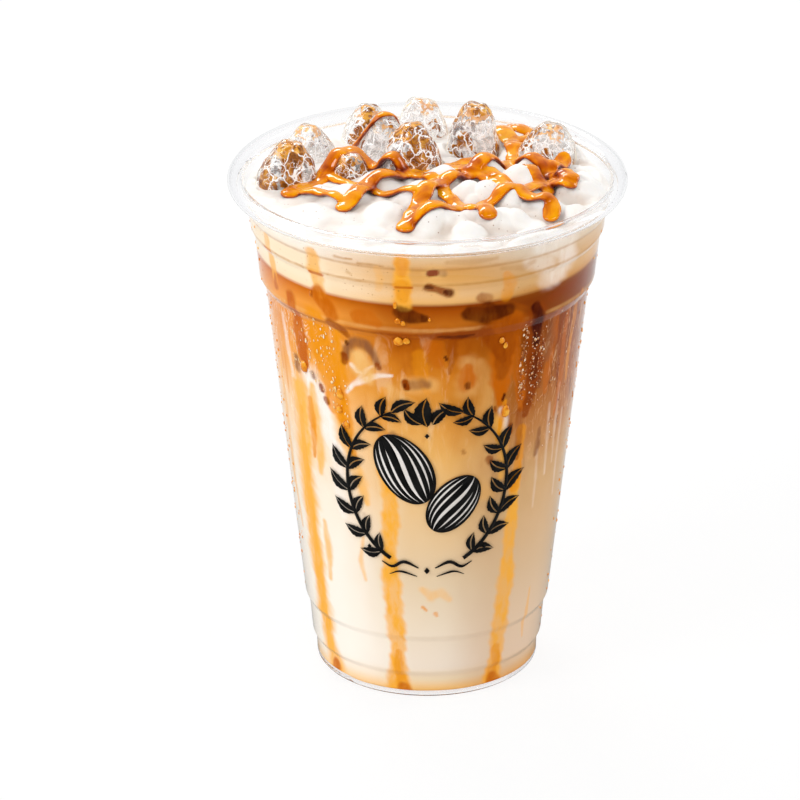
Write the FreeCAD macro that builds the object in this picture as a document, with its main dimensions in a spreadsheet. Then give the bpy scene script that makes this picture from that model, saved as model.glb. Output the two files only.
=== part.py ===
"""Iced caramel macchiato in a clear plastic cup.

A thermoformed cup with a rolled rim, a stacking ledge, lid rings and a stepped heel. It holds a layered
drink: caramel at the bottom, milk, coffee with milk, coffee, crema and milk foam. Ice stands in the foam.
Millimetres. +Z is up, and the origin is the middle of the foot, on the surface that the cup stands on.
"""

import FreeCAD, Part
import math
import os

import Sketcher
from FreeCAD import Placement, Rotation, Vector

SIZES = {
    # the cup
    "cup_height": 130.7,  # foot to the crown of the rolled rim
    "rim_radius": 49.0,  # outside of the rolled rim
    "wall": 0.5,  # sheet thickness
    "curl_radius": 2.0,  # outside radius of the rolled rim's section
    "curl_turn": 290.0,  # how far round the sheet is rolled, in degrees
    "foot_inner_radius": 24.4,
    "panel_radius": 21.4,  # the raised middle of the base
    "panel_rise": 2.2,
    "heel_radius": 27.75,
    "heel_height": 6.1,
    "heel_flare": 0.15,
    "heel_round": 1.6,
    "heel_step_rise": 1.6,
    "heel_step_out": 1.0,
    "band_height": 8.9,  # the plain band between the two steps at the foot
    "band_flare": 0.8,
    "band_step_rise": 1.7,
    "band_step_out": 0.95,
    "ledge_drop": 28.4,  # rim crown down to the foot of the stacking ledge
    "ledge_radius": 39.95,
    "ledge_rise": 2.5,
    "ledge_out": 1.45,
    "collar_height": 11.4,  # the plain collar between the ledge and the lid rings
    "collar_flare": 1.2,
    "ring_rise": 1.5,
    "ring_out": 0.9,
    "ring_spacing": 4.2,
    "ring_flare": 0.45,
    "lip_ring_rise": 1.2,
    "lip_ring_out": 0.55,
    "step_round": 0.7,
    # the drink
    "foam_drop": 5.0,  # rim crown down to the foam at the wall
    "foam_dome": 2.2,  # how much the foam's middle stands above its edge
    "foam_margin": 9.0,  # the level margin of the foam along the wall
    "foam_depth": 5.4,  # at the wall
    "crema_depth": 8.0,
    "coffee_depth": 12.5,
    "latte_depth": 48.0,
    "caramel_depth": 3.6,  # foot to the top of the caramel at the bottom
    "foam_wave": 1.0,
    "crema_wave": 0.35,
    "coffee_wave": 2.2,
    "latte_wave": 4.5,
    "caramel_wave": 0.6,
    # the ice
    "ice_seat": 4.4,  # how far the ice reaches into the foam, from the foam's edge down
    "ice_melt": 3.2,  # the rounding of its crown
    "ice_corner": 0.4,  # the rounding of its upright edges, as a share of its smaller side
    "ice_foot_share": 0.9,  # its section at the seat, as a share of that at the shoulder
}

# Each piece of ice: place of its middle, width and depth at the shoulder, heights of the shoulder and of the
# crown above the foam's edge, width and depth of the crown, the crown's shift off the middle, turn and lean.
ICE_SIZES = "x y width depth shoulder crown crown_width crown_depth shift turn lean".split()
ICE = {
    "ice_left": (-34.6, 4.6, 16.2, 13.0, 2.6, 11.0, 6.8, 6.4, 0.9, 8, 2),
    "ice_left_back": (-28.6, 22.2, 12.8, 11.2, 2.4, 8.6, 6.4, 6.2, -1.2, -24, -3),
    "ice_back_left": (-16.2, 32.8, 12.2, 11.2, 2.4, 10.2, 6.4, 6.2, 1.4, 14, 5),
    "ice_back": (-1.4, 37.0, 13.8, 10.8, 3.4, 10.4, 8.6, 6.4, 0.0, -6, 0),
    "ice_arch": (-11.4, 21.6, 12.4, 10.0, 3.6, 11.6, 6.6, 6.2, 1.2, 6, 3),
    "ice_centre": (-4.2, 9.4, 17.2, 13.6, 3.2, 14.2, 6.8, 6.6, 0.4, 12, 2),
    "ice_right_centre": (11.2, 22.6, 14.2, 13.0, 4.6, 14.4, 8.0, 7.2, 0.8, -10, 2),
    "ice_right": (29.2, 17.6, 16.2, 12.5, 3.0, 11.0, 7.4, 6.6, 1.8, -14, 2),
    "ice_low": (-19.4, 6.2, 11.6, 10.0, 2.8, 7.6, 6.6, 6.4, 0.0, 20, 0),
}

# The heaped foam's lumps, each over a piece of ice that it covers.
LUMP_SIZES = ["x", "y", "radius", "rise"]
LUMPS = [
    (36.4, -3.2, 6.4, 4.8),
    (23.2, -1.6, 6.2, 3.8),
    (12.6, -11.4, 6.6, 3.6),
    (29.6, -14.8, 4.6, 3.2),
    (35.6, -17.2, 5.0, 2.4),
    (20.8, -14.4, 5.2, 3.0),
    (18.6, -24.2, 6.2, 3.4),
    (1.2, -24.6, 6.2, 3.0),
    (4.2, -1.8, 5.6, 3.4),
    (-2.8, -11.2, 6.2, 3.2),
    (13.0, 4.4, 6.0, 3.4),
    (26.8, 6.8, 5.6, 2.6),
    (39.4, 10.2, 4.0, 1.8),
    (36.0, 24.0, 5.6, 2.0),
    (-26.4, -5.4, 3.8, 1.8),
    (-20.0, -9.8, 6.0, 3.2),
    (-29.2, -18.6, 7.4, 1.6),
    (-12.6, -1.6, 5.2, 3.2),
    (-10.2, -20.4, 6.2, 2.6),
    (20.6, 33.2, 6.8, 2.2),
    (9.6, -33.0, 5.4, 1.6),
    (-16.4, -30.6, 6.2, 1.2),
]
LUMP_BLEND = 4  # the higher this is, the sharper the valley where two lumps meet

# Where the foam sinks into the crema along the wall: direction and half the spread in degrees, and how deep.
SAG_SIZES = ["way", "spread", "depth"]
FOAM_SAGS = [(-38, 17, 7.5), (-66, 9, 2.5), (-128, 14, 1.8), (70, 20, 3.0)]

# Every table of sizes above goes into the sheet too, each number under an alias such as ice_left_width.
for piece, numbers in ICE.items():
    SIZES.update({f"{piece}_{size}": number for size, number in zip(ICE_SIZES, numbers)})
for count, numbers in enumerate(LUMPS):
    SIZES.update({f"lump_{size}_{count}": number for size, number in zip(LUMP_SIZES, numbers)})
for count, numbers in enumerate(FOAM_SAGS):
    SIZES.update({f"sag_{size}_{count}": number for size, number in zip(SAG_SIZES, numbers)})

SURFACE_MARGIN = 3.0  # how far a layer's surface runs past the rim
TALL = 200.0  # taller than any cup that this sheet describes
HEADROOM = 20.0

doc = FreeCAD.newDocument("IcedCaramelMacchiato")
sheet = doc.addObject("Spreadsheet::Sheet", "Sizes")


def fill_sheet():
    """Writes every size into the sheet, each under its own alias."""
    for row, (name, value) in enumerate(SIZES.items(), start=1):
        sheet.set(f"A{row}", name)
        sheet.set(f"B{row}", str(value))
        sheet.setAlias(f"B{row}", name)
    doc.recompute()


def value(expression):
    """What an expression in the sheet's aliases comes to."""
    return float(sheet.evalExpression(in_sheet(expression)))


def table(prefix, sizes, count):
    """The numbers of a table in the sheet, one tuple for each of its rows."""
    return [tuple(value(f"{prefix}_{size}_{row}") for size in sizes) for row in range(count)]


def in_sheet(expression):
    """The same expression, with each alias written as a reference to the sheet."""
    words = []
    for word in expression.replace("(", "( ").replace(")", " )").split():
        words.append(f"Sizes.{word}" if word in SIZES else word)
    return " ".join(words)


# Heights and radii along the outside of the wall, from the foot up, as expressions.
HEEL_TOP = "heel_height"
BAND_FOOT = f"{HEEL_TOP} + heel_step_rise"
BAND_TOP = f"{BAND_FOOT} + band_height"
WALL_FOOT = f"{BAND_TOP} + band_step_rise"
LEDGE_FOOT = "cup_height - ledge_drop"
COLLAR_FOOT = f"{LEDGE_FOOT} + ledge_rise"
COLLAR_TOP = f"{COLLAR_FOOT} + collar_height"
RING_FOOT = f"{COLLAR_TOP} + ring_rise"
RING_TOP = f"{RING_FOOT} + ring_spacing"
LIP_FOOT = f"{RING_TOP} + lip_ring_rise"
WALL_TOP = "cup_height - curl_radius"
FOAM_EDGE = "cup_height - foam_drop"

HEEL_TOP_RADIUS = "heel_radius + heel_flare"
BAND_FOOT_RADIUS = f"{HEEL_TOP_RADIUS} + heel_step_out"
BAND_TOP_RADIUS = f"{BAND_FOOT_RADIUS} + band_flare"
WALL_FOOT_RADIUS = f"{BAND_TOP_RADIUS} + band_step_out"
COLLAR_FOOT_RADIUS = "ledge_radius + ledge_out"
COLLAR_TOP_RADIUS = f"{COLLAR_FOOT_RADIUS} + collar_flare"
RING_FOOT_RADIUS = f"{COLLAR_TOP_RADIUS} + ring_out"
RING_TOP_RADIUS = f"{RING_FOOT_RADIUS} + ring_flare"
LIP_FOOT_RADIUS = f"{RING_TOP_RADIUS} + lip_ring_out"
WALL_TOP_RADIUS = "rim_radius - 2 * curl_radius + wall"

STEPS = [
    (HEEL_TOP_RADIUS, HEEL_TOP),
    (BAND_FOOT_RADIUS, BAND_FOOT),
    (BAND_TOP_RADIUS, BAND_TOP),
    (WALL_FOOT_RADIUS, WALL_FOOT),
    ("ledge_radius", LEDGE_FOOT),
    (COLLAR_FOOT_RADIUS, COLLAR_FOOT),
    (COLLAR_TOP_RADIUS, COLLAR_TOP),
    (RING_FOOT_RADIUS, RING_FOOT),
    (RING_TOP_RADIUS, RING_TOP),
    (LIP_FOOT_RADIUS, LIP_FOOT),
]
OUTSIDE = [("heel_radius", "0"), *STEPS, (WALL_TOP_RADIUS, WALL_TOP)]
BASE_OUTSIDE = [("0", "panel_rise"), ("panel_radius", "panel_rise"), ("foot_inner_radius", "0")]
INSIDE_STEPS = [(f"{radius} - wall", height) for radius, height in STEPS]
INSIDE_HEEL = ("heel_radius - wall", "wall")
INSIDE = [INSIDE_HEEL, *INSIDE_STEPS, (f"{WALL_TOP_RADIUS} - wall", WALL_TOP)]
BASE_INSIDE = [(radius, "wall" if height == "0" else f"{height} + wall") for radius, height in BASE_OUTSIDE]


def new_body(name):
    """An empty PartDesign body."""
    body = doc.addObject("PartDesign::Body", name)
    body.Label = name
    return body


def new_sketch(body, name):
    """An empty sketch on the body's own XZ plane: x is the distance from the cup's axis, and y the height."""
    sketch = body.newObject("Sketcher::SketchObject", name)
    plane = next(f for f in body.Origin.OriginFeatures if f.Role == "XZ_Plane")
    sketch.AttachmentSupport = [(plane, "")]
    sketch.MapMode = "FlatFace"
    return sketch


def bind(sketch, kind, *place, expression):
    """Adds a dimension to a sketch and ties it to the sheet."""
    index = sketch.addConstraint(Sketcher.Constraint(kind, *place, value(expression)))
    sketch.setExpression(f"Constraints[{index}]", in_sheet(expression))


def draw_outline(sketch, corners):
    """Draws a closed outline of straight lines and ties each corner to the sheet."""
    points = [Vector(value(radius), value(height), 0) for radius, height in corners]
    for start, end in zip(points, points[1:] + points[:1]):
        sketch.addGeometry(Part.LineSegment(start, end), False)
    count = len(corners)
    for line, (radius, height) in enumerate(corners):
        sketch.addConstraint(Sketcher.Constraint("Coincident", line, 2, (line + 1) % count, 1))
        if radius == "0":
            sketch.addConstraint(Sketcher.Constraint("PointOnObject", line, 1, -2))
        else:
            bind(sketch, "DistanceX", -1, 1, line, 1, expression=radius)
        if height == "0":
            sketch.addConstraint(Sketcher.Constraint("PointOnObject", line, 1, -1))
        else:
            bind(sketch, "DistanceY", -1, 1, line, 1, expression=height)


def revolve(body, sketch, name):
    """Turns a sketch once round the cup's axis."""
    turned = body.newObject("PartDesign::Revolution", name)
    turned.Profile = sketch
    turned.ReferenceAxis = (sketch, ["V_Axis"])
    turned.Angle = 360
    doc.recompute()
    return turned


def ring_edges(shape, corners):
    """Names of the round edges of a shape that lie at the corners of its outline."""
    wanted = [(value(radius), value(height)) for radius, height in corners]
    found = []
    for number, edge in enumerate(shape.Edges, start=1):
        if not isinstance(edge.Curve, Part.Circle):
            continue
        place = (edge.Curve.Radius, edge.Curve.Center.z)
        if any(math.dist(place, corner) < 0.01 for corner in wanted):
            found.append(f"Edge{number}")
    return found


def round_edges(body, corners, radius, name):
    """Rounds the edges at those corners of a body by a radius from the sheet."""
    fillet = body.newObject("PartDesign::Fillet", name)
    before = fillet.BaseFeature
    fillet.Base = (before, ring_edges(before.Shape, corners))
    fillet.setExpression("Radius", in_sheet(radius))
    doc.recompute()


def draw_curl(sketch):
    """Draws the rolled rim's section: the sheet bent round most of a circle, from the wall's top outward."""
    centre = Vector(value("rim_radius - curl_radius"), value(WALL_TOP), 0)
    outer, inner = value("curl_radius"), value("curl_radius - wall")
    end, start = math.pi, math.pi - math.radians(value("curl_turn"))
    for radius in (outer, inner):
        circle = Part.Circle(centre, Vector(0, 0, 1), radius)
        sketch.addGeometry(Part.ArcOfCircle(circle, start, end), False)
    for angle in (start, end):
        ray = Vector(math.cos(angle), math.sin(angle), 0)
        sketch.addGeometry(Part.LineSegment(centre + ray * inner, centre + ray * outer), False)
    for arc, line_end in ((1, 1), (0, 2)):
        sketch.addConstraint(Sketcher.Constraint("Coincident", 2, line_end, arc, 1))
        sketch.addConstraint(Sketcher.Constraint("Coincident", 3, line_end, arc, 2))
    sketch.addConstraint(Sketcher.Constraint("Coincident", 0, 3, 1, 3))
    sketch.addConstraint(Sketcher.Constraint("Horizontal", 0, 3, 0, 2))
    sketch.addConstraint(Sketcher.Constraint("Horizontal", 0, 3, 1, 2))
    sketch.addConstraint(Sketcher.Constraint("PointOnObject", 0, 3, 2))
    bind(sketch, "DistanceX", -1, 1, 0, 3, expression="rim_radius - curl_radius")
    bind(sketch, "DistanceY", -1, 1, 0, 3, expression=WALL_TOP)
    bind(sketch, "Radius", 0, expression="curl_radius")
    bind(sketch, "Radius", 1, expression="curl_radius - wall")
    turn = sketch.addConstraint(Sketcher.Constraint("Angle", 2, start))
    sketch.setExpression(f"Constraints[{turn}]", "(180 - Sizes.curl_turn) * 1 deg")


def make_cup():
    """The cup: its wall and base turned in one piece, the rim rolled outward, and the steps softened."""
    body = new_body("cup")
    section = new_sketch(body, "cup_section")
    draw_outline(section, [*BASE_OUTSIDE, *OUTSIDE, *reversed(INSIDE), *reversed(BASE_INSIDE)])
    revolve(body, section, "cup_wall")
    curl = new_sketch(body, "curl_section")
    draw_curl(curl)
    revolve(body, curl, "cup_curl")
    round_edges(body, [("heel_radius", "0")], "heel_round", "heel_outside")
    round_edges(body, [INSIDE_HEEL], "heel_round - wall", "heel_inside")
    round_edges(body, [*STEPS, *INSIDE_STEPS], "step_round", "soft_steps")
    return body


def make_hollow():
    """The space inside the cup, carried on upward past the rim. The drink's layers are cut from it."""
    body = new_body("hollow")
    section = new_sketch(body, "hollow_section")
    top_radius = INSIDE[-1][0]
    lid = [(top_radius, f"cup_height + {HEADROOM}"), ("0", f"cup_height + {HEADROOM}")]
    draw_outline(section, [*BASE_INSIDE, *INSIDE, *lid])
    revolve(body, section, "hollow_turned")
    round_edges(body, [INSIDE_HEEL], "heel_round - wall", "hollow_heel")
    round_edges(body, INSIDE_STEPS, "step_round", "hollow_steps")
    return body


def ripple(level, wave, phase):
    """A level surface that rises and dips gently, as a function of a place in plan."""
    span = value("rim_radius")

    def height(x, y):
        turn = math.atan2(y, x)
        share = math.hypot(x, y) / span
        swirl = math.sin(3 * turn + phase) + 0.6 * math.sin(5 * turn - 2.1 * phase)
        return level + wave * (0.5 * share * share * swirl + 0.3 * math.sin(0.09 * x + 0.06 * y + phase))

    return height


def foam_foot(level, wave):
    """The foam's underside: a rippled level that sinks along the wall where foam ran down into the crema."""
    even = ripple(level, wave, 5.2)
    sags = table("sag", SAG_SIZES, len(FOAM_SAGS))
    span = value("rim_radius")

    def height(x, y):
        turn = math.degrees(math.atan2(y, x))
        share = math.hypot(x, y) / span
        sunk = sum(depth * math.exp(-(((turn - way) / spread) ** 2)) for way, spread, depth in sags)
        return even(x, y) - sunk * share**3

    return height


def foam_top(edge, reach):
    """The foam's top: level along the wall, domed in the middle, with a lump over each piece of hidden ice."""
    dome = value("foam_dome")
    lumps = table("lump", LUMP_SIZES, len(LUMPS))

    def height(x, y):
        inward = max(0.0, 1 - (math.hypot(x, y) / reach) ** 2)
        heap = 0.0
        for lump_x, lump_y, radius, rise in lumps:
            away = math.hypot(x - lump_x, y - lump_y) / radius
            heap += (rise * max(0.0, 1 - away * away)) ** LUMP_BLEND
        return edge + dome * inward + heap ** (1 / LUMP_BLEND)

    return height


def everything_above(name, height, points):
    """All that lies above a surface, whose height is a function of the place in plan."""
    reach = value("rim_radius") + SURFACE_MARGIN
    steps = [-reach + 2 * reach * k / (points - 1) for k in range(points)]
    surface = Part.BSplineSurface()
    surface.interpolate([[Vector(x, y, height(x, y)) for y in steps] for x in steps])
    face = doc.addObject("Part::Feature", f"{name}_surface")
    face.Shape = surface.toShape()
    above = doc.addObject("Part::Extrusion", f"above_{name}")
    above.Base = face
    above.DirMode = "Custom"
    above.Dir = Vector(0, 0, 1)
    above.LengthFwd = TALL
    above.Solid = True
    return above


def boolean(kind, name, base, tool):
    """A named Part::Cut or Part::Common."""
    made = doc.addObject(f"Part::{kind}", name)
    made.Label = name
    made.Base = base
    made.Tool = tool
    return made


def make_drink(hollow, ice):
    """The drink's layers from the bottom up, each between two surfaces, and the foam with the ice's seats."""
    foam_edge = value(FOAM_EDGE)
    foam_level = foam_edge - value("foam_depth")
    crema_foot = foam_level - value("crema_depth")
    coffee_foot = crema_foot - value("coffee_depth")
    latte_foot = coffee_foot - value("latte_depth")
    bounds = [
        ("caramel_pool", ripple(value("caramel_depth"), value("caramel_wave"), 0.4), 9),
        ("milk", ripple(latte_foot, value("latte_wave"), 1.1), 13),
        ("latte", ripple(coffee_foot, value("coffee_wave"), 2.3), 13),
        ("coffee", ripple(crema_foot, value("crema_wave"), 3.9), 13),
        ("crema", foam_foot(foam_level, value("foam_wave")), 19),
        ("milk_foam", foam_top(foam_edge, value(f"{WALL_TOP_RADIUS} - foam_margin")), 47),
    ]
    layers = []
    below = None
    for name, height, points in bounds:
        above = everything_above(name, height, points)
        start = hollow if below is None else boolean("Common", f"{name}_and_up", hollow, below)
        is_foam = name == "milk_foam"
        layer = boolean("Cut", "foam_unseated" if is_foam else name, start, above)
        if is_foam:
            layer = boolean("Cut", name, layer, ice)
        layers.append(layer)
        below = above
    return layers


def draw_block(sketch, width, depth, corner, shift):
    """Draws a rectangle with rounded corners, its middle off the origin along x, and ties it to the sheet."""
    half_width, half_depth, radius = value(width) / 2, value(depth) / 2, value(corner)
    middle = Vector(value(shift), 0, 0)
    for turn in range(4):
        along, across = (half_width, half_depth) if turn % 2 == 0 else (half_depth, half_width)
        way = Rotation(Vector(0, 0, 1), 90 * turn)
        start, end = Vector(radius - along, -across, 0), Vector(along - radius, -across, 0)
        side = [middle + way.multVec(point) for point in (start, end)]
        sketch.addGeometry(Part.LineSegment(*side), False)
        centre = middle + way.multVec(Vector(along - radius, radius - across, 0))
        circle = Part.Circle(centre, Vector(0, 0, 1), radius)
        first = math.radians(90 * turn - 90)
        sketch.addGeometry(Part.ArcOfCircle(circle, first, first + math.pi / 2), False)
    for turn in range(4):
        line, arc, following = 2 * turn, 2 * turn + 1, (2 * turn + 2) % 8
        sketch.addConstraint(Sketcher.Constraint("Tangent", line, 2, arc, 1))
        sketch.addConstraint(Sketcher.Constraint("Tangent", arc, 2, following, 1))
        sketch.addConstraint(Sketcher.Constraint("Vertical" if turn % 2 else "Horizontal", line))
        if turn:
            sketch.addConstraint(Sketcher.Constraint("Equal", 1, arc))
    bind(sketch, "Radius", 1, expression=corner)
    bind(sketch, "DistanceX", -1, 1, 2, 1, expression=f"{shift} + {width} / 2")
    bind(sketch, "DistanceX", 6, 1, -1, 1, expression=f"{width} / 2 - {shift}")
    bind(sketch, "DistanceY", -1, 1, 4, 1, expression=f"{depth} / 2")
    bind(sketch, "DistanceY", 0, 1, -1, 1, expression=f"{depth} / 2")


def make_ice(name):
    """One melted cube: a smooth loft from its small crown past its shoulder to its seat, rounded on top."""
    body = new_body(name)
    plane = next(f for f in body.Origin.OriginFeatures if f.Role == "XY_Plane")
    width, depth, shift = f"{name}_width", f"{name}_depth", f"{name}_shift"
    sections = [
        ("crown", f"{name}_crown_width", f"{name}_crown_depth", shift, f"ice_seat + {name}_crown"),
        ("shoulder", width, depth, "0", f"ice_seat + {name}_shoulder"),
        ("seat", f"{width} * ice_foot_share", f"{depth} * ice_foot_share", "0", "0"),
    ]
    sketches = []
    for place, across, along, aside, height in sections:
        sketch = body.newObject("Sketcher::SketchObject", f"{name}_{place}")
        sketch.AttachmentSupport = [(plane, "")]
        sketch.MapMode = "FlatFace"
        sketch.setExpression(".AttachmentOffset.Base.z", in_sheet(height))
        smaller = across if value(across) < value(along) else along
        draw_block(sketch, across, along, f"{smaller} * ice_corner", aside)
        sketches.append(sketch)
    loft = body.newObject("PartDesign::AdditiveLoft", f"{name}_loft")
    loft.Profile = sketches[0]
    loft.Sections = sketches[1:]
    doc.recompute()
    crown = value(sections[0][-1])
    top = [n for n, edge in enumerate(loft.Shape.Edges, start=1) if edge.BoundBox.ZMin > crown - 0.01]
    melt = body.newObject("PartDesign::Fillet", f"{name}_melt")
    melt.Base = (loft, [f"Edge{number}" for number in top])
    melt.setExpression("Radius", in_sheet("ice_melt"))
    leaning = Rotation(Vector(0, 1, 0), value(f"{name}_lean"))
    turned = Rotation(Vector(0, 0, 1), value(f"{name}_turn"))
    place = [value(f"{name}_{axis}") for axis in "xy"]
    body.Placement = Placement(Vector(*place, value(f"{FOAM_EDGE} - ice_seat")), turned.multiply(leaning))
    return body


def make_all():
    """Builds every sub-part and returns the ones that are kept."""
    fill_sheet()
    cup = make_cup()
    hollow = make_hollow()
    ice = [make_ice(name) for name in ICE]
    all_ice = doc.addObject("Part::Compound", "all_ice")
    all_ice.Links = ice
    layers = make_drink(hollow, all_ice)
    doc.recompute()
    return [cup, *layers, *ice]


def write_parts(parts):
    """Checks every object of the document and writes each sub-part to parts/."""
    for made in doc.Objects:
        if {"Invalid", "Error"} & set(made.State):
            raise RuntimeError(f"{made.Name} failed: {made.State}")
    os.makedirs("parts", exist_ok=True)
    for part in parts:
        shape = part.Shape
        if shape.isNull() or not shape.isValid() or len(shape.Solids) != 1:
            raise RuntimeError(f"{part.Label} isn't one valid solid")
        shape.exportStep(f"parts/{part.Label}.step")
        print(f"{part.Label}: {shape.Volume / 1000:.2f} ml, {len(shape.Faces)} faces")


write_parts(make_all())
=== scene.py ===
"""Looks of the iced caramel macchiato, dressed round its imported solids.

Metres in Blender; sizes below are written in millimetres and turned into metres by MM. The origin is the
middle of the foot, +Z is up, and the cup's front faces -Y. A place on the wall is a direction in degrees
(0 is the front, positive turns to the right, towards +X) and a height.
"""

import math
import random

import bpy
import numpy as np
from mathutils import Euler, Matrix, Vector, noise
from mathutils.bvhtree import BVHTree


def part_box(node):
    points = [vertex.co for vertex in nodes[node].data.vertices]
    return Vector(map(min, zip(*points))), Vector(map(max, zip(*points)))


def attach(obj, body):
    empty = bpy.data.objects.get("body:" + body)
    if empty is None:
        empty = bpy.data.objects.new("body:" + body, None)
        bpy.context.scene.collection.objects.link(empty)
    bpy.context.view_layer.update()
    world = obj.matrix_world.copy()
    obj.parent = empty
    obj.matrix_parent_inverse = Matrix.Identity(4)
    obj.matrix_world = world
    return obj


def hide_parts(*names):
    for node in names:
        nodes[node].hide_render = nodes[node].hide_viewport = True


MM = 0.001
SEED = 11

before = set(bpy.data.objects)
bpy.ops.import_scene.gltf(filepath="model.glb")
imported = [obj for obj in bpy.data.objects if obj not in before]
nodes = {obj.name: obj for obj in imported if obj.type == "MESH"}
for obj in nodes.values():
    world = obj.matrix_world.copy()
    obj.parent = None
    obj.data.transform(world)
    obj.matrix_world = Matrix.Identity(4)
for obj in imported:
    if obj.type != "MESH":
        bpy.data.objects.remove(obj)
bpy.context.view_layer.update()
chance = random.Random(SEED)


# ---------------------------------------------------------------------------------------------------------
# Colours and material nodes


def tint(code):
    """A colour written as six hexadecimal digits, as Blender's linear colour."""
    parts = [int(code[k : k + 2], 16) / 255 for k in (0, 2, 4)]
    linear = [((p + 0.055) / 1.055) ** 2.4 if p > 0.04045 else p / 12.92 for p in parts]
    return (*linear, 1.0)


class Shade:
    """Short ways to build a node tree."""

    def __init__(self, tree):
        self.tree = tree

    def node(self, kind, inputs=None, **settings):
        """A node of that kind. Each input takes a number, a colour or another node's output."""
        made = self.tree.nodes.new("ShaderNode" + kind)
        for name, setting in settings.items():
            setattr(made, name, setting)
        for socket, source in (inputs or {}).items():
            self.feed(made.inputs[socket], source)
        return made

    def feed(self, socket, source):
        if isinstance(source, bpy.types.NodeSocket):
            self.tree.links.new(source, socket)
        else:
            socket.default_value = source

    def place(self, stretch=(1, 1, 1)):
        """Coordinates in millimetres, stretched along each axis."""
        coordinates = self.node("TexCoord").outputs["Object"]
        scale = tuple(1 / MM / s for s in stretch)
        return self.node("Mapping", {"Vector": coordinates, "Scale": scale}).outputs[0]

    def shifted(self, place, by):
        return self.node("VectorMath", {0: place, 1: by}, operation="ADD").outputs[0]

    def math(self, operation, *values):
        return self.node("Math", dict(enumerate(values)), operation=operation).outputs[0]

    def times(self, a, b):
        return self.math("MULTIPLY", a, b)

    def plus(self, a, b):
        return self.math("ADD", a, b)

    def minus(self, a, b):
        return self.math("SUBTRACT", a, b)

    def noise(self, size, detail=2.0, roughness=0.5, stretch=(1, 1, 1), distortion=0.0, shift=0.0):
        """Noise from 0 to 1 whose features are about `size` millimetres across."""
        place = self.place(stretch)
        if shift:
            place = self.shifted(place, (shift, shift, shift))
        inputs = {"Vector": place, "Scale": 1 / size, "Detail": detail, "Roughness": roughness}
        inputs["Distortion"] = distortion
        return self.node("TexNoise", inputs).outputs[0]

    def cells(self, size):
        """Distance to the nearest of points scattered about `size` millimetres apart."""
        return self.node("TexVoronoi", {"Vector": self.place(), "Scale": 1 / size}).outputs["Distance"]

    def cell_edges(self, place, scale):
        """Distance to the nearest edge between cells."""
        inputs = {"Vector": place, "Scale": scale}
        return self.node("TexVoronoi", inputs, feature="DISTANCE_TO_EDGE").outputs[0]

    def ramp(self, factor, stops):
        """A colour ramp. Stops are (position, colour code) or (position, grey)."""
        made = self.node("ValToRGB", {0: factor})
        band = made.color_ramp
        while len(band.elements) < len(stops):
            band.elements.new(0.5)
        for element, (position, shown) in zip(band.elements, stops):
            element.position = position
            element.color = tint(shown) if isinstance(shown, str) else (shown, shown, shown, 1)
        return made.outputs[0]

    def spread(self, value, low, high, to_low=0.0, to_high=1.0):
        """Maps low..high to to_low..to_high along a soft curve, clamped."""
        inputs = {0: value, 1: low, 2: high, 3: to_low, 4: to_high}
        return self.node("MapRange", inputs, interpolation_type="SMOOTHSTEP").outputs[0]

    def band(self, value, low, full, still_full, high):
        """1 from full to still_full, and 0 under low and over high."""
        return self.times(self.spread(value, low, full), self.spread(value, high, still_full))

    def mix(self, factor, a, b):
        """A colour between a and b. Either can be a colour code."""
        made = self.node("Mix", data_type="RGBA")
        for index, source in ((0, factor), (6, a), (7, b)):
            self.feed(made.inputs[index], tint(source) if isinstance(source, str) else source)
        return made.outputs[2]

    def attribute(self, name):
        return self.node("Attribute", attribute_name=name).outputs["Fac"]

    def bump(self, height, distance, strength=1.0):
        inputs = {"Height": height, "Distance": distance * MM, "Strength": strength}
        return self.node("Bump", inputs).outputs[0]

    def surface(self, **inputs):
        """A Principled shader. Underscores stand for the spaces in its inputs' names."""
        named = {name.replace("_", " "): source for name, source in inputs.items()}
        return self.node("BsdfPrincipled", named).outputs[0]

    def blend(self, factor, a, b):
        return self.node("MixShader", {0: factor, 1: a, 2: b}).outputs[0]

    def coated(self, colour, **inputs):
        """A surface under a smooth wet coat."""
        return self.surface(Base_Color=colour, Coat_Weight=1.0, Coat_Roughness=0.02, **inputs)

    def clear_to_lamps(self, glass):
        """Glass that lets lamps and soft light through to what it holds."""
        path = self.node("LightPath")
        clear = self.node("BsdfTransparent").outputs[0]
        once = self.blend(path.outputs["Is Shadow Ray"], glass, clear)
        return self.blend(path.outputs["Is Diffuse Ray"], once, clear)

    def fade(self, opacity, shader):
        """The shader at that opacity, over what lies behind it."""
        clear = self.node("BsdfTransparent").outputs[0]
        return self.blend(opacity, clear, shader)


def material(name, build):
    """A material whose surface is what build(shade) returns."""
    made = bpy.data.materials.new(name)
    made.use_nodes = True
    made.node_tree.nodes.clear()
    shade = Shade(made.node_tree)
    output = shade.node("OutputMaterial")
    made.node_tree.links.new(build(shade), output.inputs["Surface"])
    return made


# ---------------------------------------------------------------------------------------------------------
# Meshes


def new_piece(name, points, faces, finish):
    """A mesh object that rides with the drink. Points are in metres."""
    mesh = bpy.data.meshes.new(name)
    mesh.from_pydata([tuple(p) for p in points], [], faces)
    mesh.update()
    piece = bpy.data.objects.new(name, mesh)
    bpy.context.scene.collection.objects.link(piece)
    return dress(piece, finish)


def shade_smooth(piece):
    piece.data.polygons.foreach_set("use_smooth", [True] * len(piece.data.polygons))


def dress(piece, finish):
    """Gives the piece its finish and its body."""
    piece.data.materials.clear()
    piece.data.materials.append(finish)
    shade_smooth(piece)
    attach(piece, "root")
    return piece


def set_attribute(piece, name, values):
    """Stores one number at each point of the mesh, for the materials."""
    made = piece.data.attributes.new(name, "FLOAT", "POINT")
    made.data.foreach_set("value", np.asarray(values, np.float32).ravel())


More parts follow.
